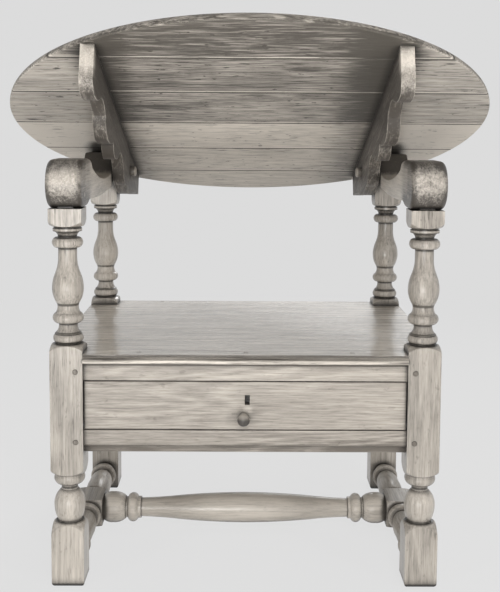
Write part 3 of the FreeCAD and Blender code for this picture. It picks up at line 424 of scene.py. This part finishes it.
@dataclass(frozen=True)
class OakFinish:
    """Old oak under wax: its colour, its figure, how it has worn, and light and shade painted into its
    colour.
    """

    name: str
    grain: Grain
    level: float = 0.62
    dark: Colour = (0.135, 0.118, 0.099)
    light: Colour = (0.540, 0.492, 0.430)
    drift: float = 0.55
    figure: float = 0.26
    streaks: float = 0.70
    fibre: float = 1.00
    pores: float = 0.20
    stain: float = 0.20
    flecks: float = 0.22
    dents: float = 0.16
    # How strong the corner darkening is, how far it reaches and how dark it goes: dirt and painted shade.
    grime_and_shade: float = 0.85
    grime_and_shade_reach: float = 0.024
    grime_and_shade_tint: float = 0.25
    wear: float = 0.25
    wear_tint: float = 1.2
    arris_radius: float = 0.0024
    roughness: float = 0.42
    wax: float = 0.25
    wax_roughness: float = 0.24
    relief: float = 0.34
    relief_depth: float = 0.0008
    shades: tuple[Shade, ...] = ()

    def fibres(self, graph: Graph, places: dict[Axis, Wire]) -> Fibres:
        """Turns the places so that the first one follows the fibres.

        Args:
            graph: The material's graph.
            places: The place on the surface, along every axis.

        Returns:
            The turned places.
        """
        return Fibres(graph, *(places[axis] for axis in self.grain.value))

    def shift(self, places: dict[Axis, Wire]) -> Operand:
        """How much lighter or darker a place is before its grain is drawn.

        Args:
            places: The place on the surface, along every axis.

        Returns:
            The shift of the tone.
        """
        total: Operand = self.level
        for shade in self.shades:
            total = shade.draw(places) + total
        return total

    def tone(self, wood: Figure, places: dict[Axis, Wire]) -> Wire:
        """How light the wood is.

        Args:
            wood: The layers that the piece shows.
            places: The place on the surface, along every axis.

        Returns:
            The tone, from 0 for the dark colour to 1 for the light one.
        """
        ringed = wood.swirl.step(*RINGED_SWIRL) * self.figure
        flecked = wood.cloud.step(*FLECKED_CLOUD) * self.flecks
        tone = (
            (wood.cloud - 0.5) * self.drift
            + (wood.rings - 0.4) * ringed
            + (wood.bands - 0.5) * self.streaks
            + (wood.threads - 0.5) * self.fibre
            - wood.pores * self.pores
            - wood.stains * self.stain
            - wood.flecks * flecked
            - wood.dents * self.dents
            + self.shift(places)
        )
        return tone.clamped()

    def dirt_and_shade(self, graph: Graph) -> Wire:
        """Dirt in the corners, and painted shade where the corners are shaded, both drawn from ambient
        occlusion.

        Args:
            graph: The material's graph.

        Returns:
            How much of the colour it covers.
        """
        reach = {"Distance": self.grime_and_shade_reach}
        open_air = graph.add("ShaderNodeAmbientOcclusion", {"samples": 8}, reach, "AO")
        return (1.0 - open_air).step(*DIRTY_SHADED_HOLLOW) * self.grime_and_shade

    def rub(self, graph: Graph, rounded: Wire, wood: Figure) -> Wire:
        """Pale wear along the arrises.

        Args:
            graph: The material's graph.
            rounded: The normal, eased over the arrises.
            wood: The layers that the piece shows.

        Returns:
            How much of the colour it covers.
        """
        facing = graph.add("ShaderNodeNewGeometry", {}, {}, "Normal")
        normals = {0: rounded, 1: facing}
        agree = graph.add("ShaderNodeVectorMath", {"operation": "DOT_PRODUCT"}, normals, "Value")
        return (1.0 - agree).step(*WORN_ARRIS) * (wood.bands.step(*WORN_BANDS) * self.wear)

    def build(self) -> bpy.types.Material:
        """Makes the material.

        Returns:
            The finished material.
        """
        material = bpy.data.materials.new(self.name)
        graph = Graph(material)
        places = measure(graph)
        wood = Figure(self.fibres(graph, places))
        rounded = graph.add("ShaderNodeBevel", {"samples": 4}, {"Radius": self.arris_radius})
        dirt_and_shade = self.dirt_and_shade(graph)
        # Very dark colour of the dirt and painted shade in the corners.
        darkened = tuple(channel * self.grime_and_shade_tint for channel in self.dark)
        paler = tuple(channel * self.wear_tint for channel in self.light)
        colour = graph.mix(self.tone(wood, places), self.dark, self.light)
        colour = graph.mix(dirt_and_shade, colour, darkened)
        colour = graph.mix(self.rub(graph, rounded, wood), colour, paler)
        gloss = (wood.bands - 0.5) * 0.25 + wood.pores * 0.14 + dirt_and_shade * 0.25 + wood.stains * 0.06
        waxed = (wood.bands * (self.wax * 1.6) + self.wax * 0.2).clamped() if self.wax else 0.0
        bump_sockets = {
            "Strength": self.relief,
            "Distance": self.relief_depth,
            "Height": wood.height(),
            "Normal": rounded,
        }
        surface = graph.add(
            "ShaderNodeBsdfPrincipled",
            {},
            {
                "Base Color": colour,
                "Roughness": (self.roughness + gloss).clamped(),
                "Coat Weight": waxed,
                "Coat Roughness": self.wax_roughness,
                "Specular IOR Level": 0.45,
                "Normal": graph.add("ShaderNodeBump", {}, bump_sockets),
            },
        )
        graph.add("ShaderNodeOutputMaterial", {}, {"Surface": surface}, None)
        return material


@dataclass(frozen=True)
class TurnedFinish(OakFinish):
    """Oak of the turned posts, with dark lines of dirt and painted shade in the grooves between their rings.
    """

    lower_grooves: tuple[float, ...] = (0.1065, 0.1625, 0.1690)
    upper_grooves: tuple[float, ...] = (0.4030, 0.4185, 0.4345, 0.4655, 0.5570, 0.5755, 0.5835, 0.5905)
    groove_dirt_and_shade: float = -0.65
    groove_strip: Stretch = (-0.0030, -0.0006, 0.0006, 0.0030)

    def shift(self, places: dict[Axis, Wire]) -> Operand:
        """Draws a dark line of dirt and painted shade round the post at each groove.

        Args:
            places: The place on the surface, along every axis.

        Returns:
            The shift of the tone.
        """
        total = super().shift(places)
        for height in self.lower_grooves + self.upper_grooves:
            ramps = strip(Axis.Z, *(height + offset for offset in self.groove_strip))
            total = Shade(self.groove_dirt_and_shade, ramps).draw(places) + total
        return total


@dataclass(frozen=True)
class BoardFinish(OakFinish):
    """Oak of the round top, whose boards differ in tone and in their grain. Underneath, the tone steps are
    partly painted light, the rear boards lighter.
    """

    edges: tuple[float, ...] = (-0.485, -0.338, -0.183, -0.033, 0.119)
    edge_blur: float = 0.0002
    tones: tuple[float, ...] = (-0.38, -0.19, -0.11, 0.42, 0.37, 0.39)
    upper_share: float = 0.35
    grain_shift: float = 2.7
    more_grain_shift: float = 0.9
    joint_dirt: float = -0.95
    dirty_strip: Stretch = (-0.0010, -0.0002, 0.0022, 0.0044)
    joint_wear_and_highlight: float = 0.60
    worn_highlit_strip: Stretch = (-0.0075, -0.0040, -0.0012, -0.0002)

    def joints(self, places: dict[Axis, Wire]) -> list[Wire]:
        """A step at each joint, from 0 in front of it to 1 behind it."""
        return [places[Axis.RUN].step(edge - self.edge_blur, edge + self.edge_blur) for edge in self.edges]

    def fibres(self, graph: Graph, places: dict[Axis, Wire]) -> Fibres:
        """Moves each board's grain along, so that no figure runs on across a joint.

        Args:
            graph: The material's graph.
            places: The place on the surface, along every axis.

        Returns:
            The turned places.
        """
        plain = super().fibres(graph, places)
        along = plain.along
        for number, joint in enumerate(self.joints(places)):
            along = along + joint * (self.grain_shift + self.more_grain_shift * number)
        return Fibres(graph, along, plain.side, plain.depth)

    def shift(self, places: dict[Axis, Wire]) -> Operand:
        """Gives each board its own tone, full underneath and weaker on top, partly painted light under the
        top; and draws the joints: a dark line at each, and under the top a pale line that is partly wear and
        partly a painted highlight.

        Args:
            places: The place on the surface, along every axis.

        Returns:
            The shift of the tone.
        """
        tone: Operand = self.tones[0]
        for joint, before, after in zip(self.joints(places), self.tones, self.tones[1:]):
            tone = joint * (after - before) + tone
        below = Shade(1.0 - self.upper_share, (UNDERSIDE,)).draw(places)
        total = tone * (below + self.upper_share) + super().shift(places)
        for edge in self.edges:
            worn_highlit = strip(Axis.RUN, *(edge + offset for offset in self.worn_highlit_strip))
            darkened = strip(Axis.RUN, *(edge + offset for offset in self.dirty_strip))
            # Pale line under each joint: worn edge and painted highlight.
            total = Shade(self.joint_wear_and_highlight, (UNDERSIDE, *worn_highlit)).draw(places) + total
            total = Shade(self.joint_dirt, darkened).draw(places) + total
        return total


@dataclass(frozen=True)
class KnobFinish:
    """Dark turned wood, with painted light on its upper side."""

    name: str = "dark_turned_wood"
    dark: Colour = (0.018, 0.016, 0.014)
    light: Colour = (0.090, 0.079, 0.067)
    paler: Colour = (0.360, 0.324, 0.279)
    lit_from: float = 0.2835
    lit_to: float = 0.2930
    rings_along: float = 620.0
    rings_across: float = 40.0
    smears: float = 130.0

    def build(self) -> bpy.types.Material:
        """Makes the material.

        Returns:
            The finished material.
        """
        material = bpy.data.materials.new(self.name)
        graph = Graph(material)
        x, y, z = graph.axes()
        turned = graph.vector(x * self.rings_across, y * self.rings_along, z * self.rings_across)
        rings = graph.noise(turned, 1.0, 4.0)
        smear = graph.noise(graph.vector(x, y, z), self.smears, 3.0)
        tone = (rings * 0.6 + smear * 0.5 - 0.1).clamped()
        # Painted light: the knob lighter over its upper side.
        lit_top = z.step(self.lit_from, self.lit_to) * (smear * 0.5 + 0.5)
        colour = graph.mix(tone, self.dark, self.light)
        colour = graph.mix(lit_top, colour, self.paler)
        normal = graph.add("ShaderNodeBump", {}, {"Strength": 0.2, "Distance": 0.0004, "Height": rings})
        surface = graph.add(
            "ShaderNodeBsdfPrincipled",
            {},
            {
                "Base Color": colour,
                "Roughness": smear * 0.25 + 0.24,
                "Coat Weight": 0.35,
                "Coat Roughness": 0.2,
                "Normal": normal,
            },
        )
        graph.add("ShaderNodeOutputMaterial", {}, {"Surface": surface}, None)
        return material


@dataclass(frozen=True)
class IronFinish:
    """Forged iron, dark, with a little rust."""

    name: str = "forged_iron"
    dark: Colour = (0.035, 0.034, 0.034)
    light: Colour = (0.130, 0.125, 0.120)
    rust: Colour = (0.090, 0.052, 0.032)
    scales: float = 260.0
    hammer_marks: float = 90.0
    rust_spots: float = 150.0

    def build(self) -> bpy.types.Material:
        """Makes the material.

        Returns:
            The finished material.
        """
        material = bpy.data.materials.new(self.name)
        graph = Graph(material)
        place = graph.vector(*graph.axes())
        scale = graph.noise(place, self.scales, 5.0, 0.6)
        hammer = graph.noise(place, self.hammer_marks, 2.0)
        rusted = graph.noise(place, self.rust_spots, 4.0, 0.65).step(0.55, 0.70)
        colour = graph.mix(scale, self.dark, self.light)
        colour = graph.mix(rusted * 0.6, colour, self.rust)
        bump_sockets = {"Strength": 0.4, "Distance": 0.0006, "Height": hammer * 0.7 + scale * 0.4}
        surface = graph.add(
            "ShaderNodeBsdfPrincipled",
            {},
            {
                "Base Color": colour,
                "Metallic": 1.0 - rusted * 0.7,
                "Roughness": scale * 0.25 + rusted * 0.2 + 0.35,
                "Normal": graph.add("ShaderNodeBump", {}, bump_sockets),
            },
        )
        graph.add("ShaderNodeOutputMaterial", {}, {"Surface": surface}, None)
        return material


class Dresser:
    """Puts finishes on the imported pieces, by the record's slots."""

    def __init__(self, frame: dict[str, Any]) -> None:
        """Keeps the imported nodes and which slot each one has."""
        self.nodes: dict[str, bpy.types.Object] = frame["nodes"]
        self.slots = {item["node"]: item["material_slot"] for item in frame["record"]["subparts"]}

    def dress(self, slot: str, material: bpy.types.Material) -> None:
        """Gives every node of a slot its material.

        Args:
            slot: Name of the slot in the record.
            material: The material that goes on.
        """
        chosen = [node for node, own in self.slots.items() if own == slot]
        for node in chosen:
            mesh = self.nodes[node].data
            mesh.materials.clear()
            mesh.materials.append(material)
            for face in mesh.polygons:
                face.material_index = 0
        LOG.info("%s: %s", slot, ", ".join(chosen))


@dataclass
class NailHeads:
    """Heads of hand-made iron nails, kept together as one piece. Their sizes are shares of the radius."""

    name: str
    radius: float
    facets: int = 7
    crown: float = 0.45
    thickness: float = 0.5
    proud: float = 0.2
    easing: float = 0.1
    turn: float = 0.7
    shape: bmesh.types.BMesh = field(default_factory=bmesh.new)
    count: int = 0

    def drive(self, place: Vector, out: Vector) -> None:
        """Adds a faceted head, each turned a little differently.

        Args:
            place: Where the head sits on the wood.
            out: Which way the head faces.
        """
        aim = out.to_track_quat("Z", "Y").to_matrix().to_4x4()
        turned = Matrix.Rotation(self.turn * self.count, 4, "Z")
        lift = Matrix.Translation((0.0, 0.0, self.radius * self.proud))
        made = bmesh.ops.create_cone(
            self.shape,
            cap_ends=True,
            cap_tris=False,
            segments=self.facets,
            radius1=self.radius,
            radius2=self.radius * self.crown,
            depth=self.radius * self.thickness,
            matrix=Matrix.Translation(place) @ aim @ turned @ lift,
        )
        edges = {edge for vertex in made["verts"] for edge in vertex.link_edges}
        bmesh.ops.bevel(
            self.shape,
            geom=list(edges),
            offset=self.radius * self.easing,
            segments=2,
            profile=0.5,
            affect="EDGES",
            material=-1,
        )
        self.count += 1

    def keep(self, material: bpy.types.Material, body: Body) -> None:
        """Turns the heads into one piece that rides on a body.

        Args:
            material: The nails' material.
            body: The body that they ride on.
        """
        bmesh.ops.recalc_face_normals(self.shape, faces=self.shape.faces[:])
        mesh = bpy.data.meshes.new(self.name)
        self.shape.to_mesh(mesh)
        self.shape.free()
        mesh.materials.append(material)
        piece = bpy.data.objects.new(self.name, mesh)
        bpy.context.scene.collection.objects.link(piece)
        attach(piece, body.value)
        LOG.info("%s: %d heads on %s", self.name, self.count, body.value)


@dataclass
class ChairFrame:
    """Posts, arms, rails, seat and stretchers."""

    finishes: tuple[OakFinish, ...] = (
        TurnedFinish(
            "post_oak",
            Grain.UPRIGHT,
            level=0.52,
            dark=(0.075, 0.066, 0.055),
            light=(0.580, 0.528, 0.462),
            drift=0.40,
            figure=0.18,
            streaks=0.46,
            fibre=0.75,
            grime_and_shade=1.0,
            roughness=0.34,
            wax=0.40,
            shades=(
                # Painted light and shade: the left front foot lighter, the right rear post darker, the left
                # rear post lighter, the front capitals darker, the front balls lighter, the front turned
                # lengths above the seat darker, most on the right.
                Shade(0.20, (Ramp(Axis.Z, 0.150, 0.060), FRONT_POSTS, LEFT_SIDE)),
                Shade(-0.12, (Ramp(Axis.Z, 0.480, 0.560), REAR_POSTS, RIGHT_SIDE)),
                Shade(0.16, (Ramp(Axis.Z, 0.410, 0.450), REAR_POSTS, LEFT_SIDE)),
                Shade(-0.14, (Ramp(Axis.Z, 0.585, 0.600), FRONT_POSTS)),
                Shade(0.16, (*strip(Axis.Z, 0.100, 0.108, 0.166, 0.174), FRONT_POSTS)),
                Shade(-0.10, (OVER_SEAT, Ramp(Axis.Z, 0.600, 0.585), FRONT_POSTS)),
                Shade(-0.06, (OVER_SEAT, FRONT_POSTS, RIGHT_SIDE)),
            ),
        ),
        OakFinish(
            "arm_oak",
            Grain.DEEP,
            level=0.61,
            dark=(0.045, 0.039, 0.033),
            drift=0.30,
            figure=0.10,
            streaks=0.40,
            wear=0.12,
            shades=(
                # Painted shadow of the top on the rear blocks; painted shade on each knuckle's lower part,
                # its side edges and the right knuckle; the knuckle tops darker from hand grime and painted
                # shade; painted light along the arms behind the knuckles.
                Shade(-1.00, (Ramp(Axis.Y, 0.085, 0.120),)),
                Shade(-0.60, (KNUCKLE, Ramp(Axis.Z, 0.670, 0.622))),
                Shade(-0.45, (KNUCKLE, Ramp(Axis.Z, 0.674, 0.698))),
                Shade(-0.25, (KNUCKLE_FACE, Ramp(Axis.ASIDE, 0.304, 0.314))),
                Shade(-0.25, (KNUCKLE_FACE, Ramp(Axis.ASIDE, 0.272, 0.263))),
                Shade(-0.08, (KNUCKLE, RIGHT_SIDE)),
                Shade(0.26, (Ramp(Axis.Y, -0.190, -0.130),)),
            ),
        ),
        OakFinish(
            "rail_oak",
            Grain.ACROSS,
            level=0.61,
            shades=(
                Shade(-0.19, (Ramp(Axis.Z, 0.264, 0.258),)),
                # Painted shade along the lower rail's bottom edge.
                Shade(-0.34, (Ramp(Axis.Z, 0.242, 0.234),)),
                # Painted shadow of the seat's nosing along the upper rail's top edge.
                Shade(-0.80, (Ramp(Axis.Z, 0.3676, 0.3690),)),
            ),
        ),
        OakFinish("side_oak", Grain.DEEP, level=0.56),
        OakFinish(
            "seat_oak",
            Grain.ACROSS,
            level=0.74,
            dark=(0.090, 0.079, 0.066),
            light=(0.760, 0.693, 0.605),
            streaks=1.2,
            fibre=1.4,
            roughness=0.26,
            wax=0.75,
            wax_roughness=0.13,
            relief=0.55,
            shades=(
                # Painted shade in the cove at the top of the seat's front edge, and over the whole front
                # edge.
                Shade(-0.60, (Ramp(Axis.Y, -0.2525, -0.2532), Ramp(Axis.Z, 0.3794, 0.3804))),
                Shade(-0.25, (Ramp(Axis.Y, -0.2500, -0.2520),)),
            ),
        ),
        OakFinish("stretcher_oak", Grain.DEEP, level=0.58),
        OakFinish("medial_oak", Grain.ACROSS, level=0.92, roughness=0.34, wax=0.40),
        OakFinish(
            "peg_oak",
            Grain.UPRIGHT,
            level=0.05,
            figure=0.1,
            wear=0.05,
            shades=(Shade(0.38, (Ramp(Axis.Z, 0.375, 0.380),)),),
        ),
    )

    def dress(self, dresser: Dresser) -> None:
        """Dresses the frame's nodes."""
        for finish in self.finishes:
            dresser.dress(finish.name, finish.build())


@dataclass
class RoundTop:
    """Boards and battens of the tilting top."""

    boards: BoardFinish = BoardFinish(
        "top_oak",
        Grain.BOARDS,
        level=0.455,
        dark=(0.060, 0.053, 0.044),
        light=(0.600, 0.547, 0.478),
        drift=0.5,
        figure=0.12,
        streaks=0.75,
        fibre=1.6,
        stain=0.30,
        flecks=0.70,
        dents=0.60,
        roughness=0.56,
        wax=0.06,
        shades=(
            # Painted shadows of the battens on the underside, beside their inner faces, and painted light on
            # the underside's outer ends.
            Shade(-0.50, (*strip(Axis.X, 0.135, 0.225, 0.2362, 0.2368), UNDERSIDE)),
            Shade(-0.34, (*strip(Axis.X, -0.2368, -0.2362, -0.225, -0.175), UNDERSIDE)),
            Shade(0.27, (Ramp(Axis.ASIDE, 0.262, 0.300), UNDERSIDE)),
        ),
    )
    battens: OakFinish = OakFinish(
        "batten_oak",
        Grain.BATTENS,
        level=0.88,
        dark=(0.060, 0.052, 0.044),
        figure=0.12,
        roughness=0.54,
        wax=0.08,
        wear=0.8,
        shades=(
            # Painted shade on the battens behind their light noses and on the lower half of each nose.
            Shade(-0.82, (Ramp(Axis.RUN, -0.536, -0.508),)),
            Shade(-0.54, (Ramp(Axis.RUN, -0.508, -0.530), Ramp(Axis.LIFT, 0.012, -0.018))),
        ),
    )

    def dress(self, dresser: Dresser) -> None:
        """Dresses the top's nodes."""
        for finish in (self.boards, self.battens):
            dresser.dress(finish.name, finish.build())


def spread(first: float, last: float, count: int) -> list[float]:
    """Places at even steps, with both ends."""
    return [first + (last - first) * step / (count - 1) for step in range(count)]


@dataclass
class DrawerBox:
    """The drawer with its lining, knob, lock and nails."""

    front: OakFinish = OakFinish(
        "drawer_oak",
        Grain.ACROSS,
        level=0.56,
        figure=0.20,
        streaks=0.50,
        fibre=1.2,
        shades=(
            # A paler patch round the top of the knob: finger wear and painted light.
            Shade(
                0.34,
                (*strip(Axis.X, -0.006, 0.000, 0.006, 0.014), *strip(Axis.Z, 0.284, 0.291, 0.298, 0.305)),
            ),
            Shade(-0.45, (Ramp(Axis.X, -0.2585, -0.2600),)),
            Shade(-0.45, (Ramp(Axis.X, 0.2585, 0.2600),)),
            Shade(-0.45, (Ramp(Axis.Z, 0.2655, 0.2640),)),
            Shade(-0.45, (Ramp(Axis.Z, 0.3405, 0.3420),)),
        ),
    )
    lining: OakFinish = OakFinish(
        "lining_oak", Grain.DEEP, level=0.66, stain=0.14, wear=0.08, roughness=0.62, wax=0.0
    )
    knob: KnobFinish = KnobFinish()
    iron: IronFinish = IronFinish()
    side_nail: float = 0.0034
    small_nail: float = 0.00272
    end_inset: float = 0.006
    edge_inset: float = 0.007
    front_nails: tuple[float, ...] = (0.14, 0.5, 0.86)
    back_nails: tuple[float, ...] = (0.14, 0.86)
    bottom_nails: int = 5
    first_bottom_nail: float = 0.03
    last_bottom_nail: float = 0.02
    rear_bottom_nails: int = 4
    outer_rear_nail: float = 0.08

    def dress(self, dresser: Dresser) -> None:
        """Dresses the drawer's nodes and drives its nails.

        Args:
            dresser: Puts the finishes on.
        """
        iron = self.iron.build()
        dresser.dress("drawer_oak", self.front.build())
        dresser.dress("lining_oak", self.lining.build())
        dresser.dress("knob_wood", self.knob.build())
        dresser.dress("iron", iron)
        self.nail_sides(iron)
        self.nail_bottom(iron)
        self.rivet_lock(iron)

    def nail_sides(self, iron: bpy.types.Material) -> None:
        """Nails through the sides into the front and the back.

        Args:
            iron: The nails' material.
        """
        heads = NailHeads("drawer_side_nails", self.side_nail)
        for node, outward in (("drawer_left_side", -1.0), ("drawer_right_side", 1.0)):
            low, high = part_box(node)
            face = low.x if outward < 0.0 else high.x
            rows = ((low.y + self.end_inset, self.front_nails), (high.y - self.end_inset, self.back_nails))
            for y, shares in rows:
                for share in shares:
                    place = Vector((face, y, low.z + (high.z - low.z) * share))
                    heads.drive(place, Vector((outward, 0.0, 0.0)))
        heads.keep(iron, Body.DRAWER)

    def nail_bottom(self, iron: bpy.types.Material) -> None:
        """Nails up through the bottom into the sides and the back.

        Args:
            iron: The nails' material.
        """
        low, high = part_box("drawer_bottom")
        heads = NailHeads("drawer_bottom_nails", self.small_nail)
        down = Vector((0.0, 0.0, -1.0))
        front, rear = low.y + self.first_bottom_nail, high.y - self.last_bottom_nail
        left, right = low.x + self.outer_rear_nail, high.x - self.outer_rear_nail
        for x in (low.x + self.edge_inset, high.x - self.edge_inset):
            for y in spread(front, rear, self.bottom_nails):
                heads.drive(Vector((x, y, low.z)), down)
        for x in spread(left, right, self.rear_bottom_nails):
            heads.drive(Vector((x, high.y - self.end_inset, low.z)), down)
        heads.keep(iron, Body.DRAWER)

    def rivet_lock(self, iron: bpy.types.Material) -> None:
        """Rivets that close the lock's case.

        Args:
            iron: The rivets' material.
        """
        low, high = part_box("lock_case")
        heads = NailHeads("lock_rivets", self.small_nail)
        for x in (low.x + self.edge_inset, high.x - self.edge_inset):
            for z in (low.z + self.edge_inset, high.z - self.edge_inset):
                heads.drive(Vector((x, high.y, z)), Vector((0.0, 1.0, 0.0)))
        heads.keep(iron, Body.DRAWER)


@dataclass
class SoftLamp:
    """A large round soft lamp, whose glare on waxed surfaces can be left out."""

    name: str
    place: Point
    aim: Point
    size: float
    watts: float
    glare: bool = True

    def hang(self) -> None:
        """Adds the lamp to the scene."""
        data = bpy.data.lights.new(self.name, "AREA")
        data.shape = "DISK"
        data.size = self.size
        data.energy = self.watts
        lamp = bpy.data.objects.new(self.name, data)
        look = Vector(self.aim) - Vector(self.place)
        turn = look.to_track_quat("-Z", "Y").to_matrix().to_4x4()
        lamp.matrix_world = Matrix.Translation(self.place) @ turn
        lamp.visible_camera = False
        lamp.visible_glossy = self.glare
        bpy.context.scene.collection.objects.link(lamp)


@dataclass
class Studio:
    """Plain pale floor, soft light and the photograph's camera."""

    backdrop: float = 0.715
    paper: float = 0.765
    paper_near: float = 0.90
    ambient: float = 0.15
    floor_radius: float = 6.0
    fade_from: float = 0.5
    fade_to: float = 2.6
    lamps: tuple[SoftLamp, ...] = (
        SoftLamp("right_lamp", (1.55, -1.75, 0.55), (0.0, -0.1, 0.45), 0.5, 17.5, glare=False),
        SoftLamp("left_lamp", (-1.45, -1.75, 0.50), (0.0, -0.1, 0.40), 0.5, 15.0, glare=False),
        SoftLamp("low_lamp", (-0.35, -2.70, 0.22), (0.0, -0.1, 0.40), 0.8, 21.0),
        SoftLamp("high_lamp", (0.25, -2.30, 2.05), (0.0, 0.0, 0.40), 0.9, 31.0, glare=False),
        SoftLamp("back_lamp", (0.60, 2.70, 2.30), (0.0, 0.1, 0.50), 1.5, 50.0),
        SoftLamp("floor_lamp", (0.0, -1.20, 0.03), (0.0, -1.50, 0.98), 0.9, 34.0, glare=False),
    )
    camera_place: Point = (-0.0050, -1.8401, 0.7564)
    yaw: float = 0.00661
    pitch: float = 0.08664
    roll: float = 0.00597
    focal_pixels: float = 1006.6
    axis_row: float = 212.0
    sensor: float = 24.0

    def set_camera(self) -> None:
        """Sets up the camera at the photograph's viewing angle."""
        width, height = IMAGE_SIZE
        data = bpy.data.cameras.new("photo_camera")
        data.sensor_fit = "VERTICAL"
        data.sensor_height = self.sensor
        data.sensor_width = self.sensor * width / height
        data.lens = self.focal_pixels / height * self.sensor
        data.shift_y = (self.axis_row - height / 2) / height
        camera = bpy.data.objects.new("photo_camera", data)
        turn = Matrix.Rotation(-self.yaw, 4, "Z") @ Matrix.Rotation(math.pi / 2 - self.pitch, 4, "X")
        turn = turn @ Matrix.Rotation(self.roll, 4, "Z")
        camera.matrix_world = Matrix.Translation(self.camera_place) @ turn
        bpy.context.scene.collection.objects.link(camera)
        bpy.context.scene.camera = camera

    @staticmethod
    def seen(graph: Graph) -> Wire:
        """A mask of the rays that see the plain background.

        Args:
            graph: The graph of the floor or the world.

        Returns:
            1 for camera, glossy and transmission rays.
        """
        names = ("Is Camera Ray", "Is Glossy Ray", "Is Transmission Ray")
        rays = [graph.add("ShaderNodeLightPath", {}, {}, name) for name in names]
        return (rays[0] + rays[1] + rays[2]).clamped()

    def lay_floor(self) -> None:
        """Lays a pale round floor that keeps the shadow and fades into the background."""
        shape = bmesh.new()
        bmesh.ops.create_circle(shape, cap_ends=True, segments=96, radius=self.floor_radius)
        mesh = bpy.data.meshes.new("studio_floor")
        shape.to_mesh(mesh)
        shape.free()
        floor = bpy.data.objects.new("studio_floor", mesh)
        bpy.context.scene.collection.objects.link(floor)
        material = bpy.data.materials.new("pale_floor")
        graph = Graph(material)
        x, y, _ = graph.axes()
        far = ((x * x + y * y) ** 0.5).step(self.fade_from, self.fade_to)
        tint = graph.mix(far, (self.paper,) * 3, (self.backdrop,) * 3)
        lit = graph.add("ShaderNodeBsdfDiffuse", {}, {"Color": (self.paper, self.paper, self.paper, 1.0)})
        plain = graph.add("ShaderNodeEmission", {}, {"Color": tint, "Strength": 1.0})
        factor = self.seen(graph) * (far * (1.0 - self.paper_near) + self.paper_near)
        surface = graph.add("ShaderNodeMixShader", {}, {0: factor, 1: lit, 2: plain})
        graph.add("ShaderNodeOutputMaterial", {}, {"Surface": surface}, None)
        mesh.materials.append(material)

    def set_world(self) -> None:
        """Gives the world its soft light and its plain background."""
        world = bpy.data.worlds.new("studio_world")
        bpy.context.scene.world = world
        graph = Graph(world)
        white = (1.0, 1.0, 1.0, 1.0)
        paper = (self.backdrop, self.backdrop, self.backdrop, 1.0)
        soft = graph.add("ShaderNodeBackground", {}, {"Color": white, "Strength": self.ambient})
        plain = graph.add("ShaderNodeBackground", {}, {"Color": paper, "Strength": 1.0})
        surface = graph.add("ShaderNodeMixShader", {}, {0: self.seen(graph), 1: soft, 2: plain})
        graph.add("ShaderNodeOutputWorld", {}, {"Surface": surface}, None)

    def set_up(self) -> None:
        """Builds the whole studio."""
        bpy.context.scene.view_settings.view_transform = "Standard"
        self.lay_floor()
        self.set_world()
        for lamp in self.lamps:
            lamp.hang()
        self.set_camera()


def main() -> None:
    """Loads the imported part, dresses it and sets up the studio."""
    logging.basicConfig(level=logging.INFO, format="%(name)s: %(message)s")
    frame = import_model()
    dresser = Dresser(frame)
    for assembly in (ChairFrame(), RoundTop(), DrawerBox()):
        assembly.dress(dresser)
    Studio().set_up()


if __name__ == "__main__":
    main()
